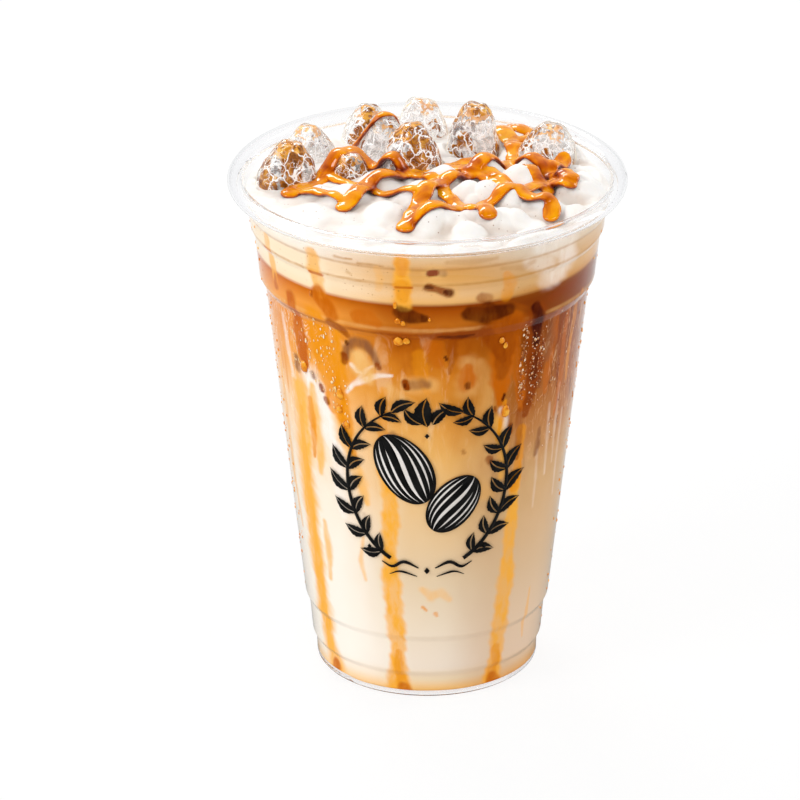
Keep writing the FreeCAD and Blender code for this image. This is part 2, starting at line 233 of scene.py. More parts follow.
def search_tree(*pieces):
    """One tree over the pieces' meshes, for casting rays."""
    points, faces = [], []
    for piece in pieces:
        start = len(points)
        points += [v.co.copy() for v in piece.data.vertices]
        faces += [[start + k for k in p.vertices] for p in piece.data.polygons]
    return BVHTree.FromPolygons(points, faces)


def height_under(tree, point):
    """Height in millimetres of what lies under a point, or None where nothing does."""
    hit = tree.ray_cast(Vector(point), Vector((0, 0, -1)))[0]
    return None if hit is None else hit.z / MM


def grid_faces(rows, columns, wrap=False, start=0, flip=False):
    """Quads of a grid whose points are stored row by row. wrap joins the last column to the first."""
    faces = []
    for row in range(rows - 1):
        for column in range(columns if wrap else columns - 1):
            right = (column + 1) % columns
            a, b = start + row * columns + column, start + row * columns + right
            if flip:
                a, b = b, a
            faces.append((a, b, b + columns, a + columns))
    return faces


def fan(middle, ring, count, flip=False):
    """Triangles between a middle point and a ring of points."""
    pairs = [(ring + k, ring + (k + 1) % count) for k in range(count)]
    return [(middle, b, a) if flip else (middle, a, b) for a, b in pairs]


def apply_modifiers(piece):
    """Makes the piece's modifiers part of its mesh."""
    graph = bpy.context.evaluated_depsgraph_get()
    graph.update()
    done = bpy.data.meshes.new_from_object(piece.evaluated_get(graph))
    piece.modifiers.clear()
    old = piece.data
    piece.data = done
    bpy.data.meshes.remove(old)


def remesh(piece, voxel, smoothing):
    """Joins all that overlaps in the piece into one even, smooth-shaded skin."""
    skin = piece.modifiers.new("skin", "REMESH")
    skin.mode = "VOXEL"
    skin.voxel_size = voxel * MM
    soft = piece.modifiers.new("soft", "SMOOTH")
    soft.factor = 0.5
    soft.iterations = smoothing
    apply_modifiers(piece)
    shade_smooth(piece)


# ---------------------------------------------------------------------------------------------------------
# The wall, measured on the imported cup

cup_tree = search_tree(nodes["cup"])
WALL_LOW, WALL_HIGH, WALL_STEP = 0.9, 128.2, 0.2  # heights between which the wall is measured
BASE_TOP = 3.0  # the raised base fills the cup's middle below this
BASE_EDGE = 22.5  # a radius outside the raised base
INTO_WALL = 0.2  # how far the drink reaches into the wall


def measure_wall():
    """Heights, and the wall's inner and outer radius at each, in millimetres."""
    heights = np.arange(WALL_LOW, WALL_HIGH, WALL_STEP)
    inner, outer = [], []
    way = Vector((math.sin(0.01), -math.cos(0.01), 0))
    past_skin = way * 0.02 * MM
    for height in heights:
        start = Vector((0, 0, height * MM))
        if height < BASE_TOP:
            start += way * BASE_EDGE * MM
        first = cup_tree.ray_cast(start, way)[0]
        second = cup_tree.ray_cast(first + past_skin, way)[0]
        inner.append(math.hypot(first.x, first.y) / MM)
        outer.append(math.hypot(second.x, second.y) / MM)
    return heights, np.array(inner), np.array(outer)


wall_heights, wall_inner, wall_outer = measure_wall()


def inner_radius(height):
    return np.interp(height, wall_heights, wall_inner)


def outer_radius(height):
    return np.interp(height, wall_heights, wall_outer)


def on_wall(way, height, radius):
    """A point in metres, from a direction in degrees, a height and a radius in millimetres."""
    turn = np.radians(way)
    return np.stack([radius * np.sin(turn), -radius * np.cos(turn), height + 0 * turn], -1) * MM


# ---------------------------------------------------------------------------------------------------------
# The drink's colour, partly painted light and shade: by height in three directions, and by what ran down the
# wall

DRINK_HEIGHT = 130.0  # height at which the ramps end
SWIRL = 26.0  # how far the colours wander up and down where the drink mixes
# Each side's colours from the foot up: (height, colour).
# over the drink's own colours, the left's are paler with painted light and the right's darker with painted
# shade
LEFT_SIDE_WITH_LIGHT = [
    (0, "f6b868"), (2.5, "fdd7a4"), (5, "fdeedb"), (9, "fcf5ea"), (20, "fcf4e8"), (40, "fcf2e4"),
    (54, "fcecd8"), (66, "fbe0c0"), (74, "fbd2a2"), (80, "fac488"), (88, "f5ab52"), (95, "f09c38"),
    (102, "e8902e"), (107, "ee9a3e"), (110.6, "d97a1c"), (111.8, "c8660e"), (112.8, "fbe0ba"),
    (115, "fce6c6"), (121, "fbe4c2"), (123.6, "f8ecdc"), (130, "faf6f0"),
]
FRONT_SIDE = [
    (0, "e89c3a"), (2.5, "f6c47c"), (5, "f2dcba"), (9, "f3e4d2"), (20, "f1e0c8"), (34, "e8d0ae"),
    (48, "ebc898"), (60, "efc488"), (72, "eeb668"), (82, "e6a04a"), (88, "de9238"), (95, "d27c20"),
    (100, "b8600c"), (104, "a85006"), (107, "c06a18"), (110.4, "a84e06"), (111.8, "8e3c02"),
    (112.8, "efb870"), (115, "efc088"), (119, "e4aa62"), (122, "dfa254"), (124.2, "e6bc88"),
    (130, "f0e0cc"),
]
RIGHT_SIDE_WITH_SHADE = [
    (0, "e0903a"), (2.5, "e8b070"), (5, "e4c4a0"), (9, "e6cbb0"), (20, "e4c8aa"), (34, "dcbc96"),
    (46, "dab488"), (56, "d4aa78"), (64, "ca9660"), (72, "bc7c44"), (80, "ac6428"), (90, "9a500e"),
    (98, "8e4408"), (105, "8a4208"), (110, "803806"), (111.8, "8a440c"), (112.8, "d09450"),
    (115, "dcae76"), (119, "d8aa74"), (122, "dcbc94"), (124.2, "e4d0b8"), (130, "eee2d2"),
]

# What ran down the wall, with painted lines at the cup's ledge and ribs, from the palest to the darkest,
# which is laid on last.
RUN_COLOURS = {
    "cream": "fdf3e9", "golden": "fcb850", "butter": "f0bc72", "tan": "c0843a", "honey": "f9b03c",
    "amber": "ec9310", "rust": "c86406", "taupe": "8a5636", "coffee": "8e3c02", "deep": "420c00",
}


def brew_group():
    """A node group: the drink's colour as a function of place."""
    tree = bpy.data.node_groups.new("brew", "ShaderNodeTree")
    tree.interface.new_socket("Color", in_out="OUTPUT", socket_type="NodeSocketColor")
    shade = Shade(tree)
    output = tree.nodes.new("NodeGroupOutput")
    axes = shade.node("SeparateXYZ", {0: shade.place()})
    x, y, z = axes.outputs
    away = shade.math("SQRT", shade.plus(shade.times(x, x), shade.times(y, y)))
    side = shade.math("DIVIDE", x, shade.math("MAXIMUM", away, 1.0))
    drift = shade.noise(24, 3, 0.55, stretch=(1, 1, 2.2))
    curl = shade.noise(7, 3, 0.6, stretch=(1, 1, 2.0), shift=31)
    mixing = shade.spread(z, 111.0, 99.0)
    calm = shade.spread(z, 30.0, 60.0)
    reach = shade.times(shade.times(mixing, calm), SWIRL)
    moved = shade.times(shade.minus(drift, 0.5), reach)
    curled = shade.times(shade.minus(curl, 0.5), shade.times(reach, 0.5))
    height = shade.plus(z, shade.plus(moved, curled))
    share = shade.math("DIVIDE", height, DRINK_HEIGHT)
    ramps = []
    for stops in (LEFT_SIDE_WITH_LIGHT, FRONT_SIDE, RIGHT_SIDE_WITH_SHADE):
        ramps.append(shade.ramp(share, [(level / DRINK_HEIGHT, code) for level, code in stops]))
    # the three ramps blend round the cup, from painted light at the left to painted shade at the right
    wavy = shade.plus(side, shade.times(shade.minus(drift, 0.5), 0.5))
    colour = shade.mix(shade.spread(wavy, -0.14, -0.66), ramps[1], ramps[0])
    colour = shade.mix(shade.spread(wavy, 0.14, 0.6), colour, ramps[2])
    # cream that hasn't mixed in, and darker coffee, in upright veils
    veil = shade.noise(4.6, 4, 0.62, stretch=(1, 1, 4.0), distortion=0.5, shift=7)
    zone = shade.band(z, 54.0, 76.0, 96.0, 108.0)
    # the veils and threads below darken towards the right, partly the coffee and partly painted shade
    to_right = shade.spread(side, 0.1, 0.7)
    pale = shade.times(shade.spread(veil, 0.55, 0.7), shade.times(zone, 0.34))
    dark_zone = shade.times(zone, shade.spread(to_right, 0.0, 1.0, 0.35, 0.7))
    dark = shade.times(shade.spread(veil, 0.46, 0.3), dark_zone)
    colour = shade.mix(pale, colour, shade.mix(to_right, "fcdcae", "c88a50"))
    colour = shade.mix(dark, colour, shade.mix(to_right, "d87c18", "74300a"))
    # fine pale threads at both sides
    thread = shade.noise(2.3, 3, 0.6, stretch=(1, 1, 7.0), distortion=0.8, shift=61)
    thin = shade.spread(shade.math("ABSOLUTE", shade.minus(thread, 0.5)), 0.022, 0.004)
    sides = shade.spread(shade.math("ABSOLUTE", side), 0.45, 0.8)
    thread_zone = shade.band(z, 44.0, 70.0, 100.0, 106.0)
    thin = shade.times(thin, shade.times(sides, thread_zone))
    colour = shade.mix(shade.times(thin, 0.6), colour, shade.mix(to_right, "fdeedc", "dca878"))
    for count, (name, code) in enumerate(RUN_COLOURS.items()):
        grain = shade.spread(shade.noise(2.6, 3, 0.6, stretch=(1, 1, 2.6), shift=count * 13), 0.3, 0.7)
        amount = shade.times(shade.attribute(name), shade.spread(grain, 0.0, 1.0, 0.8, 1.1))
        colour = shade.mix(shade.math("MINIMUM", amount, 1.0), colour, code)
    # specks of coffee in the head, most of them low in the foam
    speck_zone = shade.band(z, 112.5, 114.0, 123.4, 124.6)
    rare = shade.spread(shade.noise(6, 1, shift=90), 0.42, 0.66)
    speck = shade.spread(shade.cells(1.25), 0.2, 0.08)
    speck = shade.times(shade.times(speck, rare), speck_zone)
    colour = shade.mix(shade.times(speck, 0.75), colour, "b06a1c")
    tree.links.new(colour, output.inputs[0])
    return tree


brew = brew_group()


def brewed(shade):
    """The drink behind the clear wall."""
    group = shade.node("Group")
    group.node_tree = brew
    return shade.surface(Base_Color=group.outputs[0], Roughness=0.5, Specular_IOR_Level=0.0)


def ring(height):
    """Places all the way round the wall at one height."""
    return [(way, height) for way in (-180, -90, 0, 90, 180)]


# Each run on the wall: places (direction, height) that it passes, its half widths and its strength.
RUNS = {
    "cream": [
        ([(-31, 85.6), (-28, 88), (-23, 90), (-18, 91.6), (-13, 92)], [0.5, 0.8, 0.9, 0.7, 0.4], 0.85),
        ([(-28, 93.4), (-26, 92), (-24, 91.6)], [0.6, 0.6, 0.3], 0.9),
        ([(-28, 88), (-25, 90.4), (-22, 93), (-20, 94)], [0.4, 0.5, 0.5, 0.3], 0.6),
        ([(-52, 88), (-48, 85.6), (-45, 82), (-42, 78), (-40, 73), (-38, 66)],
         [1.2, 3.2, 4.2, 4.0, 3.4, 2.2], 0.95),
        ([(-38, 66), (-38, 58), (-37, 50)], [2.2, 2.0, 1.2], 0.6),
        ([(38, 124.4), (44, 124), (50, 122), (52, 118), (47, 115)], [3.0, 3.6, 4.0, 3.6, 3.0], 0.62),
        ([(34, 121), (42, 119), (44, 115)], [2.0, 3.0, 3.0], 0.45),
        ([(29, 81), (30.5, 78), (31, 75)], [0.8, 1.0, 0.8], 0.7),
        ([(-63, 100), (-62, 92), (-60, 84)], [0.8, 1.0, 0.8], 0.55),
        ([(54, 78), (55, 68), (56, 58)], [0.4, 0.7, 0.4], 0.26),
        ([(60, 82), (60, 70), (61, 60)], [0.3, 0.6, 0.3], 0.26),
        ([(65, 74), (65, 62), (66, 50)], [0.4, 0.7, 0.4], 0.26),
        ([(49, 66), (50, 58), (50, 50)], [0.4, 0.6, 0.3], 0.22),
    ],
    "golden": [
        ([(-56, 82), (-57, 70), (-59, 58), (-59, 46), (-58, 34), (-57, 22), (-58, 12), (-55, 3)],
         [2.6, 3.6, 3.8, 3.4, 3.2, 3.0, 3.2, 3.2], 1.0),
        ([(-48, 84), (-48, 76), (-47, 66), (-48, 60)], [1.2, 2.0, 1.8, 0.8], 0.8),
        ([(-34, 80), (-33, 72), (-30, 66), (-27, 60), (-25, 55)], [2.4, 2.6, 2.0, 1.6, 0.8], 0.75),
        ([(-72, 86), (-72, 70), (-73, 54), (-70, 40)], [1.0, 1.4, 1.2, 0.6], 0.7),
        ([(-49, 46), (-48, 38), (-49, 30)], [0.8, 1.4, 0.8], 0.7),
        ([(-2, 32), (2, 30), (6, 31), (10, 29)], [1.0, 1.6, 1.4, 1.0], 0.45),
        ([(-28, 45), (-30, 38), (-28, 33)], [0.5, 0.7, 0.4], 0.55),
        ([(28, 78), (30, 72), (32, 67), (31, 62)], [1.6, 2.0, 1.6, 0.8], 0.7),
        ([(8, 62), (18, 60), (26, 58)], [2.0, 3.0, 2.0], 0.25),
    ],
    "butter": [
        ([(-25, 96), (-24, 93), (-22, 91)], [2.4, 3.0, 2.4], 0.9),
        ([(1.6, 121.4), (3, 121.2)], [2.0, 2.0], 0.75),
        ([(1, 117.6), (4, 116.6), (8, 115.4)], [2.0, 2.2, 2.2], 0.7),
        ([(-6, 89.6), (-2, 90), (1, 90)], [2.4, 2.4, 2.2], 0.5),
        ([(15, 95), (15, 89)], [2.6, 3.0], 0.45),
        ([(-40, 100), (-44, 94), (-42, 88)], [1.6, 2.0, 1.6], 0.35),
        ([(-13, 88), (-8, 84), (-4, 80)], [2.2, 2.6, 2.0], 0.4),
        ([(19, 95), (22, 89), (23, 83)], [1.4, 2.2, 1.6], 0.3),
        # painted highlight: a pale line along the top of the cup's ledge, all round
        (ring(105.3), [0.55, 0.5, 0.5, 0.5, 0.55], 0.35),
    ],
    "tan": [
        # painted shade: thin dark lines along the cup's two ribs, all round
        (ring(117.9), [0.45, 0.45, 0.4, 0.45, 0.45], 0.55),
        (ring(122.1), [0.45, 0.4, 0.4, 0.4, 0.45], 0.45),
        ([(-30, 123.6), (-27, 123.4), (-24, 123.6)], [0.4, 0.3, 0.3], 0.7),
        ([(-22, 122.6), (-17, 122.9), (-14, 122.6)], [0.5, 0.3, 0.4], 0.6),
        ([(-26, 119.8), (-25, 119.4)], [0.5, 0.4], 0.4),
        ([(6, 124.2), (14, 124), (22, 124.2)], [0.6, 1.0, 0.6], 0.4),
        ([(24, 121), (32, 120), (36, 121)], [0.6, 1.2, 0.6], 0.35),
    ],
    "honey": [
        ([(-16, 66), (-15, 54), (-16, 44), (-16, 34), (-15, 27), (-14, 15), (-15, 3)],
         [2.2, 2.2, 2.0, 2.3, 2.6, 2.0, 3.0], 0.9),
        ([(38, 60), (38, 50), (37.5, 40), (38, 32), (36.5, 24), (37, 14), (36, 3)],
         [1.6, 1.9, 2.0, 2.4, 2.6, 2.2, 2.8], 0.85),
        ([(-57, 76), (-58, 62), (-58, 50), (-58, 38), (-57, 26), (-57, 14)],
         [0.8, 1.3, 1.5, 1.3, 1.8, 1.2], 0.8),
        ([(-39, 122.6), (-39, 117), (-38, 112)], [1.9, 2.0, 2.1], 0.7),
        ([(-8, 124.4), (-8, 118), (-8, 112)], [2.1, 2.0, 2.2], 0.95),
        ([(-63, 121), (-63, 115), (-62, 110)], [1.5, 1.5, 1.3], 0.7),
        ([(-16, 121.8), (-15, 119), (-16, 116)], [1.0, 1.2, 0.8], 0.25),
        ([(55, 26), (54, 18), (55, 12)], [0.4, 0.7, 0.4], 0.4),
        (ring(0.8), [0.9, 1.0, 1.0, 0.9, 0.9], 0.6),
    ],
    "amber": [
        ([(-42, 104), (-42, 98), (-40, 92), (-38, 86), (-37, 80)], [3.4, 3.8, 3.4, 2.6, 2.0], 0.9),
        ([(-34, 101), (-34, 95), (-34, 90), (-34, 84), (-33, 78), (-31, 74)],
         [1.6, 2.2, 2.4, 2.4, 2.2, 1.4], 0.95),
        ([(-50, 80), (-50, 75), (-50, 69), (-51, 64)], [0.9, 1.3, 1.2, 0.6], 0.85),
        ([(-70, 100), (-70, 92), (-69, 84)], [0.6, 0.9, 0.6], 0.6),
        ([(-66, 90), (-66, 84), (-66, 78)], [0.5, 0.7, 0.4], 0.7),
        ([(-32, 76), (-31, 71), (-29, 67)], [1.2, 1.0, 0.6], 0.9),
        ([(-16, 88), (-17, 76), (-16, 66)], [1.0, 1.5, 1.8], 0.5),
        ([(-3, 98), (-2, 92), (0, 88)], [1.8, 1.6, 1.0], 0.4),
        ([(30, 83), (29, 78), (28, 73)], [0.8, 0.6, 0.5], 0.8),
        ([(39, 74), (39, 66), (38, 58)], [1.3, 1.5, 1.5], 0.8),
        ([(-8, 123.6), (-8, 121.4)], [2.0, 1.4], 0.7),
        ([(-8, 117.6), (-8, 114)], [2.0, 1.4], 0.6),
        ([(26, 119), (28, 116), (27, 113)], [1.2, 2.0, 1.4], 0.5),
        ([(-2, 27), (0, 26)], [0.5, 0.4], 0.7),
        ([(4, 25), (4.6, 24.4)], [0.7, 0.5], 0.7),
        ([(36, 12), (37, 7), (35, 3)], [1.2, 1.5, 1.8], 0.7),
        ([(-14, 13), (-14, 7), (-12, 3)], [0.9, 1.2, 1.8], 0.6),
        ([(66, 106), (66, 98), (64, 90), (65, 82)], [0.7, 1.1, 0.9, 0.5], 0.5),
    ],
    "rust": [
        ([(-53, 107), (-52.4, 100), (-51.6, 94), (-51, 89)], [2.0, 2.2, 2.2, 1.7], 0.95),
        ([(-39, 112), (-36, 109), (-34, 106.5)], [2.0, 2.4, 2.0], 0.9),
        ([(-24, 107.6), (-20, 108), (-17, 106.6)], [1.8, 2.2, 1.2], 0.7),
        ([(28, 104), (28.5, 96), (28, 90), (28, 83)], [5.6, 4.4, 2.8, 1.0], 0.95),
        ([(33, 97), (35, 91), (37, 86), (38, 80)], [1.6, 1.8, 1.6, 1.2], 0.8),
        ([(-41, 117.2), (-36, 117.2)], [0.5, 0.5], 0.9),
        ([(-10, 117.2), (-5, 117.2)], [0.45, 0.45], 0.9),
        ([(-66, 117.6), (-61, 117.4)], [0.5, 0.4], 0.9),
        ([(-62, 111), (-62, 108)], [0.6, 1.0], 0.8),
        ([(14.6, 94), (14.4, 90)], [1.6, 2.2], 0.8),
        ([(52, 104), (52, 96), (50, 88), (50, 82)], [1.0, 1.6, 1.4, 0.8], 0.5),
        ([(60, 104), (59, 94), (60, 84), (58, 74)], [0.6, 1.0, 1.2, 0.6], 0.45),
        ([(-55, 3.6), (-55, 2)], [1.5, 2.0], 0.8),
        ([(-12, 2.4), (-11, 1.4)], [1.5, 1.6], 0.8),
        ([(36, 3.4), (37, 2)], [1.6, 2.2], 0.85),
        ([(2, 100), (4, 96)], [2.6, 1.6], 0.6),
    ],
    "taupe": [
        ([(-30.5, 95), (-29.6, 97.6), (-26.4, 100), (-22.4, 99.8), (-19.4, 97.4), (-18, 95)],
         [0.9, 1.1, 1.6, 1.5, 1.0, 0.8], 0.85),
        ([(-5, 89.8), (-2, 90.2), (0, 90)], [1.5, 1.5, 1.2], 0.7),
        ([(-56, 90), (-56, 87)], [1.0, 1.4], 0.75),
        ([(-47, 87.6), (-46.6, 86.8)], [0.8, 0.9], 0.7),
        ([(50, 101), (50, 96), (49, 92)], [1.2, 2.0, 1.6], 0.5),
        ([(49, 72), (49, 68), (48, 65)], [0.6, 1.0, 0.7], 0.75),
        ([(-13, 76), (-12.4, 75.6)], [0.9, 0.8], 0.5),
        ([(2, 121.4), (5, 121)], [0.9, 1.0], 0.5),
        ([(-27, 52), (-26, 50)], [0.7, 0.5], 0.2),
    ],
    "coffee": [
        ([(-35, 104.2), (-31, 103), (-29, 101.4)], [1.4, 1.6, 0.8], 0.7),
        ([(20, 103.6), (25, 100), (28, 95)], [2.2, 2.6, 1.4], 0.8),
        ([(40, 106), (42, 98), (43, 91), (42, 84), (40, 78)], [2.8, 3.0, 2.8, 2.2, 1.2], 0.95),
        ([(28, 104), (28.5, 97), (28, 91)], [5.0, 3.6, 1.6], 0.6),
        ([(8, 103), (9, 98), (8, 93)], [1.6, 1.3, 0.6], 0.5),
        ([(37, 79), (38, 72), (38, 66)], [1.2, 1.2, 0.6], 0.55),
        ([(57, 103), (56, 94), (57, 85)], [0.8, 1.0, 0.6], 0.5),
        ([(66, 105), (66, 95)], [0.6, 0.5], 0.35),
        ([(34, 105), (31, 103)], [2.0, 1.6], 0.6),
        ([(2, 103.6), (10, 103.2), (18, 103.6)], [1.0, 1.4, 1.2], 0.85),
        # painted shade: a dark line along the cup's ledge, under the pale one, all round
        (ring(103.8), [0.4, 0.35, 0.45, 0.6, 0.4], 0.5),
        ([(-43, 85), (-42.6, 84)], [0.7, 0.8], 0.85),
        ([(-41, 81.6), (-40.6, 81)], [0.9, 0.8], 0.8),
        ([(-31, 95.6), (-31, 94)], [0.9, 1.0], 0.9),
        ([(-18, 94.6), (-17.6, 93.8)], [0.7, 0.8], 0.8),
        ([(-8, 90.4), (-7.4, 89)], [0.9, 0.9], 0.95),
        ([(0.8, 121.2), (2.6, 121.4)], [1.0, 0.9], 0.95),
        ([(0.6, 117.4), (3, 116.8), (7, 115.6)], [1.3, 1.0, 1.3], 0.8),
        ([(25, 67.8), (25.4, 67)], [1.0, 0.8], 0.8),
        ([(33.6, 76), (33.4, 74)], [0.7, 0.8], 0.8),
        ([(26, 82), (26.4, 81)], [0.4, 0.4], 0.8),
        ([(14, 71), (14.4, 70.4)], [0.5, 0.5], 0.5),
        ([(18, 113.4), (20, 112.8)], [1.4, 1.6], 0.6),
        ([(46, 108.6), (52, 109.6), (60, 110)], [1.6, 1.4, 1.0], 0.4),
    ],
    "deep": [
        ([(-9, 110.2), (-6, 109.2), (-1, 108.6)], [1.6, 2.0, 1.1], 0.8),
        ([(14, 109.6), (21, 108.6), (28, 109)], [1.8, 2.4, 1.6], 0.8),
        ([(20, 111), (23, 110)], [1.6, 1.2], 0.6),
        ([(39, 108), (42, 103), (42.6, 97)], [1.4, 1.8, 1.2], 0.9),
        ([(43, 94), (42.6, 88)], [0.8, 1.2], 0.55),
        ([(4, 103.4), (12, 103), (16, 103.4)], [0.4, 0.7, 0.4], 0.6),
        ([(14.8, 89.4), (15, 88.8)], [1.0, 0.9], 0.7),
        ([(29.6, 85), (29.2, 83.6)], [0.45, 0.4], 0.9),
        ([(0, 117.5), (1.4, 117.3)], [0.7, 0.6], 0.7),
        ([(6, 115.8), (7.4, 115.4)], [0.8, 0.9], 0.85),
        ([(6.5, 97.4), (6.8, 96.8)], [0.45, 0.4], 0.8),
        ([(-29.6, 99.4), (-29.4, 99)], [0.5, 0.4], 0.7),
        ([(-8.2, 89.8), (-8, 89.2)], [0.5, 0.5], 0.6),
    ],
}
SOFT_RUNS = {"cream", "butter", "tan", "taupe", "golden"}  # these fade at their edges
RUN_UNEVEN = 0.24  # how much a run's width wanders
BACK_RUNS = 22  # runs down the side that faces away, placed by chance
BACK_FROM, BACK_TO = 92, 268  # directions between which they lie
BACK_KINDS = [  # their colours in turn, each with its strength and half width
    ("rust", 0.7, 2.6), ("honey", 0.8, 2.0), ("butter", 0.5, 3.4), ("coffee", 0.6, 2.0), ("amber", 0.6, 2.2),
    ("golden", 0.6, 2.2), ("rust", 0.5, 1.6), ("cream", 0.45, 2.4), ("coffee", 0.45, 3.0),
]


def back_runs():
    """Runs down the far side, of the same kinds as in front."""
    for count in range(BACK_RUNS):
        name, strength, width = BACK_KINDS[count % len(BACK_KINDS)]
        way = BACK_FROM + (BACK_TO - BACK_FROM) * (count + chance.uniform(0.1, 0.9)) / BACK_RUNS
        top = chance.uniform(94, 107)
        bottom = chance.uniform(64, 90)
        if name == "honey":
            top, bottom = chance.uniform(44, 88), 2.0
        if name == "golden":
            top, bottom = chance.uniform(70, 90), chance.uniform(20, 50)
        path = []
        widths = []
        for step in range(6):
            share = step / 5
            path.append((way + chance.uniform(-1.8, 1.8), top + (bottom - top) * share))
            fullness = 0.45 + 0.55 * math.sin(math.pi * (0.12 + 0.76 * share))
            widths.append(width * fullness * chance.uniform(0.7, 1.3))
        RUNS[name].append((path, widths, strength))


back_runs()


def run_amount(name, way, height):
    """How much of that run shows at places on the wall, from 0 to 1."""
    total = np.zeros(way.shape)
    for number, (path, widths, strength) in enumerate(RUNS[name]):
        wobble = np.sin(height * 0.41 + number) * 0.5 + np.sin(height * 1.07 + way * 0.3 + number * 2) * 0.35
        wobble += np.sin(height * 2.3 + way * 0.9 + number * 3) * 0.25
        nearest = np.zeros(way.shape)
        for (start, end, width, next_width) in zip(path, path[1:], widths, widths[1:]):
            radius = float(inner_radius((start[1] + end[1]) / 2))
            across = radius * math.radians(1)
            apart = (way - start[0] + 180) % 360 - 180
            run = np.array([(end[0] - start[0]) * across, end[1] - start[1]])
            length = max(float(np.hypot(*run)), 1e-6)
            px, pz = apart * across, height - start[1]
            along = np.clip((px * run[0] + pz * run[1]) / length**2, 0, 1)
            gap = np.hypot(px - along * run[0], pz - along * run[1])
            wide = (width + (next_width - width) * along) * (1 + RUN_UNEVEN * wobble)
            soft = 1.15 if name in SOFT_RUNS else 0.6
            edge = np.clip((wide * (1 + soft * 0.42) - gap) / (soft * wide), 0, 1)
            nearest = np.maximum(nearest, edge * edge * (3 - 2 * edge))
        total = np.maximum(total, nearest * strength)
    return total


# ---------------------------------------------------------------------------------------------------------
# The drink's layers

AROUND = 600  # points round the wall
ROW_STEP = 0.4  # between rows of points up the wall
LAYERS = ["caramel_pool", "milk", "latte", "coffee", "crema", "milk_foam"]
WAYS = np.arange(AROUND) * 360 / AROUND
FOAM_DROP = 5.0  # the foam's edge lies this far under the rim
FOAM_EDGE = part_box("cup")[1].z / MM - FOAM_DROP
FOAM_LEVEL = FOAM_EDGE + 1.0  # about the height of the foam away from its edge


def underside(name):
    """Heights of a layer's underside along the wall, one for each direction."""
    tree = search_tree(nodes[name])
    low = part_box(name)[0].z / MM
    radius = float(inner_radius(low)) - 0.8
    heights = []
    for way in WAYS:
        point = Vector(on_wall(way, -5.0, radius))
        hit = tree.ray_cast(point, Vector((0, 0, 1)))[0]
        heights.append(hit.z / MM)
    return np.array(heights)


def layer_side(low, high):
    """A layer's side, from the bottom row up: points, faces, and each point's direction and height."""
    rows = max(3, int((high - low).max() / ROW_STEP) + 1)
    shares = np.linspace(0, 1, rows)[:, None]
    heights = low[None, :] + (high - low)[None, :] * shares
    ways = np.broadcast_to(WAYS, heights.shape)
    points = on_wall(ways, heights, inner_radius(heights) + INTO_WALL)
    return points.reshape(-1, 3).tolist(), grid_faces(rows, AROUND, wrap=True), ways, heights


def mark_runs(piece, ways, heights):
    """Gives the side's points their share of each run. The points after them have none."""
    rest = len(piece.data.vertices) - heights.size
    for kind in RUNS:
        amounts = run_amount(kind, ways, heights).ravel()
        set_attribute(piece, kind, np.append(amounts, np.zeros(rest)))


def close_end(points, faces, start, heights, upward):
    """A lid over the ring of points from start on. Its own ring of points keeps the edge crisp."""
    ring = len(points)
    points += points[start : start + AROUND]
    middle = len(points)
    points.append((0, 0, float(heights.mean()) * MM))
    faces += fan(middle, ring, AROUND, flip=not upward)


def make_layer(name, low, high, finish):
    """A layer: its side reaches just into the wall, and it is closed above and below."""
    points, faces, ways, heights = layer_side(low, high)
    top_row = len(points) - AROUND
    close_end(points, faces, 0, low, upward=False)
    close_end(points, faces, top_row, high, upward=True)
    piece = new_piece(f"{name}_drink", points, faces, finish)
    mark_runs(piece, ways, heights)
    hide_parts(name)


POOL_RINGS = 23  # rings of points over the cup's raised base


def make_pool(high, finish):
    """The caramel at the bottom. Its underside follows the cup's base."""
    low = np.full(AROUND, WALL_LOW + 0.2)
    points, faces, ways, heights = layer_side(low, high)
    first = len(points)
    outer = float(inner_radius(low[0])) + INTO_WALL
    over_base = 12.0
    for step in range(1, POOL_RINGS + 1):
        radius = outer * (1 - step / (POOL_RINGS + 1))
        for way in WAYS:
            base = height_under(cup_tree, on_wall(way, over_base, radius))
            points.append(tuple(on_wall(way, base - INTO_WALL, radius)))
    for k in range(AROUND):
        after = (k + 1) % AROUND
        faces.append((after, k, first + k, first + after))
    faces += grid_faces(POOL_RINGS, AROUND, wrap=True, start=first, flip=True)
    middle = len(points)
    points.append((0, 0, (height_under(cup_tree, (0, 0, over_base * MM)) - INTO_WALL) * MM))
    faces += fan(middle, middle - AROUND, AROUND, flip=True)
    close_end(points, faces, first - AROUND, high, upward=True)
    piece = new_piece("caramel_pool_drink", points, faces, finish)
    mark_runs(piece, ways, heights)
    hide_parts("caramel_pool")


# ---------------------------------------------------------------------------------------------------------
# The foam

ICE = sorted(name for name in nodes if name.startswith("ice_"))
foam_tree = search_tree(nodes["milk_foam"])
FOAM_RINGS = 112
FOAM_REACH = 44.6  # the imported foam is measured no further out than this
ABOVE_ALL = 160.0  # a height over everything
POCKET = 1.2  # a place this far under the foam's edge is the floor of a piece of ice's seat
SETTLE = 2.0  # the finer relief fades out over this distance from the wall


def neighbours_mean(grid, reach):
    """The mean of each point's neighbours, `reach` columns aside and one row up and down."""
    near = np.roll(grid, reach, 1) + np.roll(grid, -reach, 1)
    near[1:-1] += grid[2:] + grid[:-2]
    near[1:-1] /= 4
    near[[0, -1]] /= 2
    return near


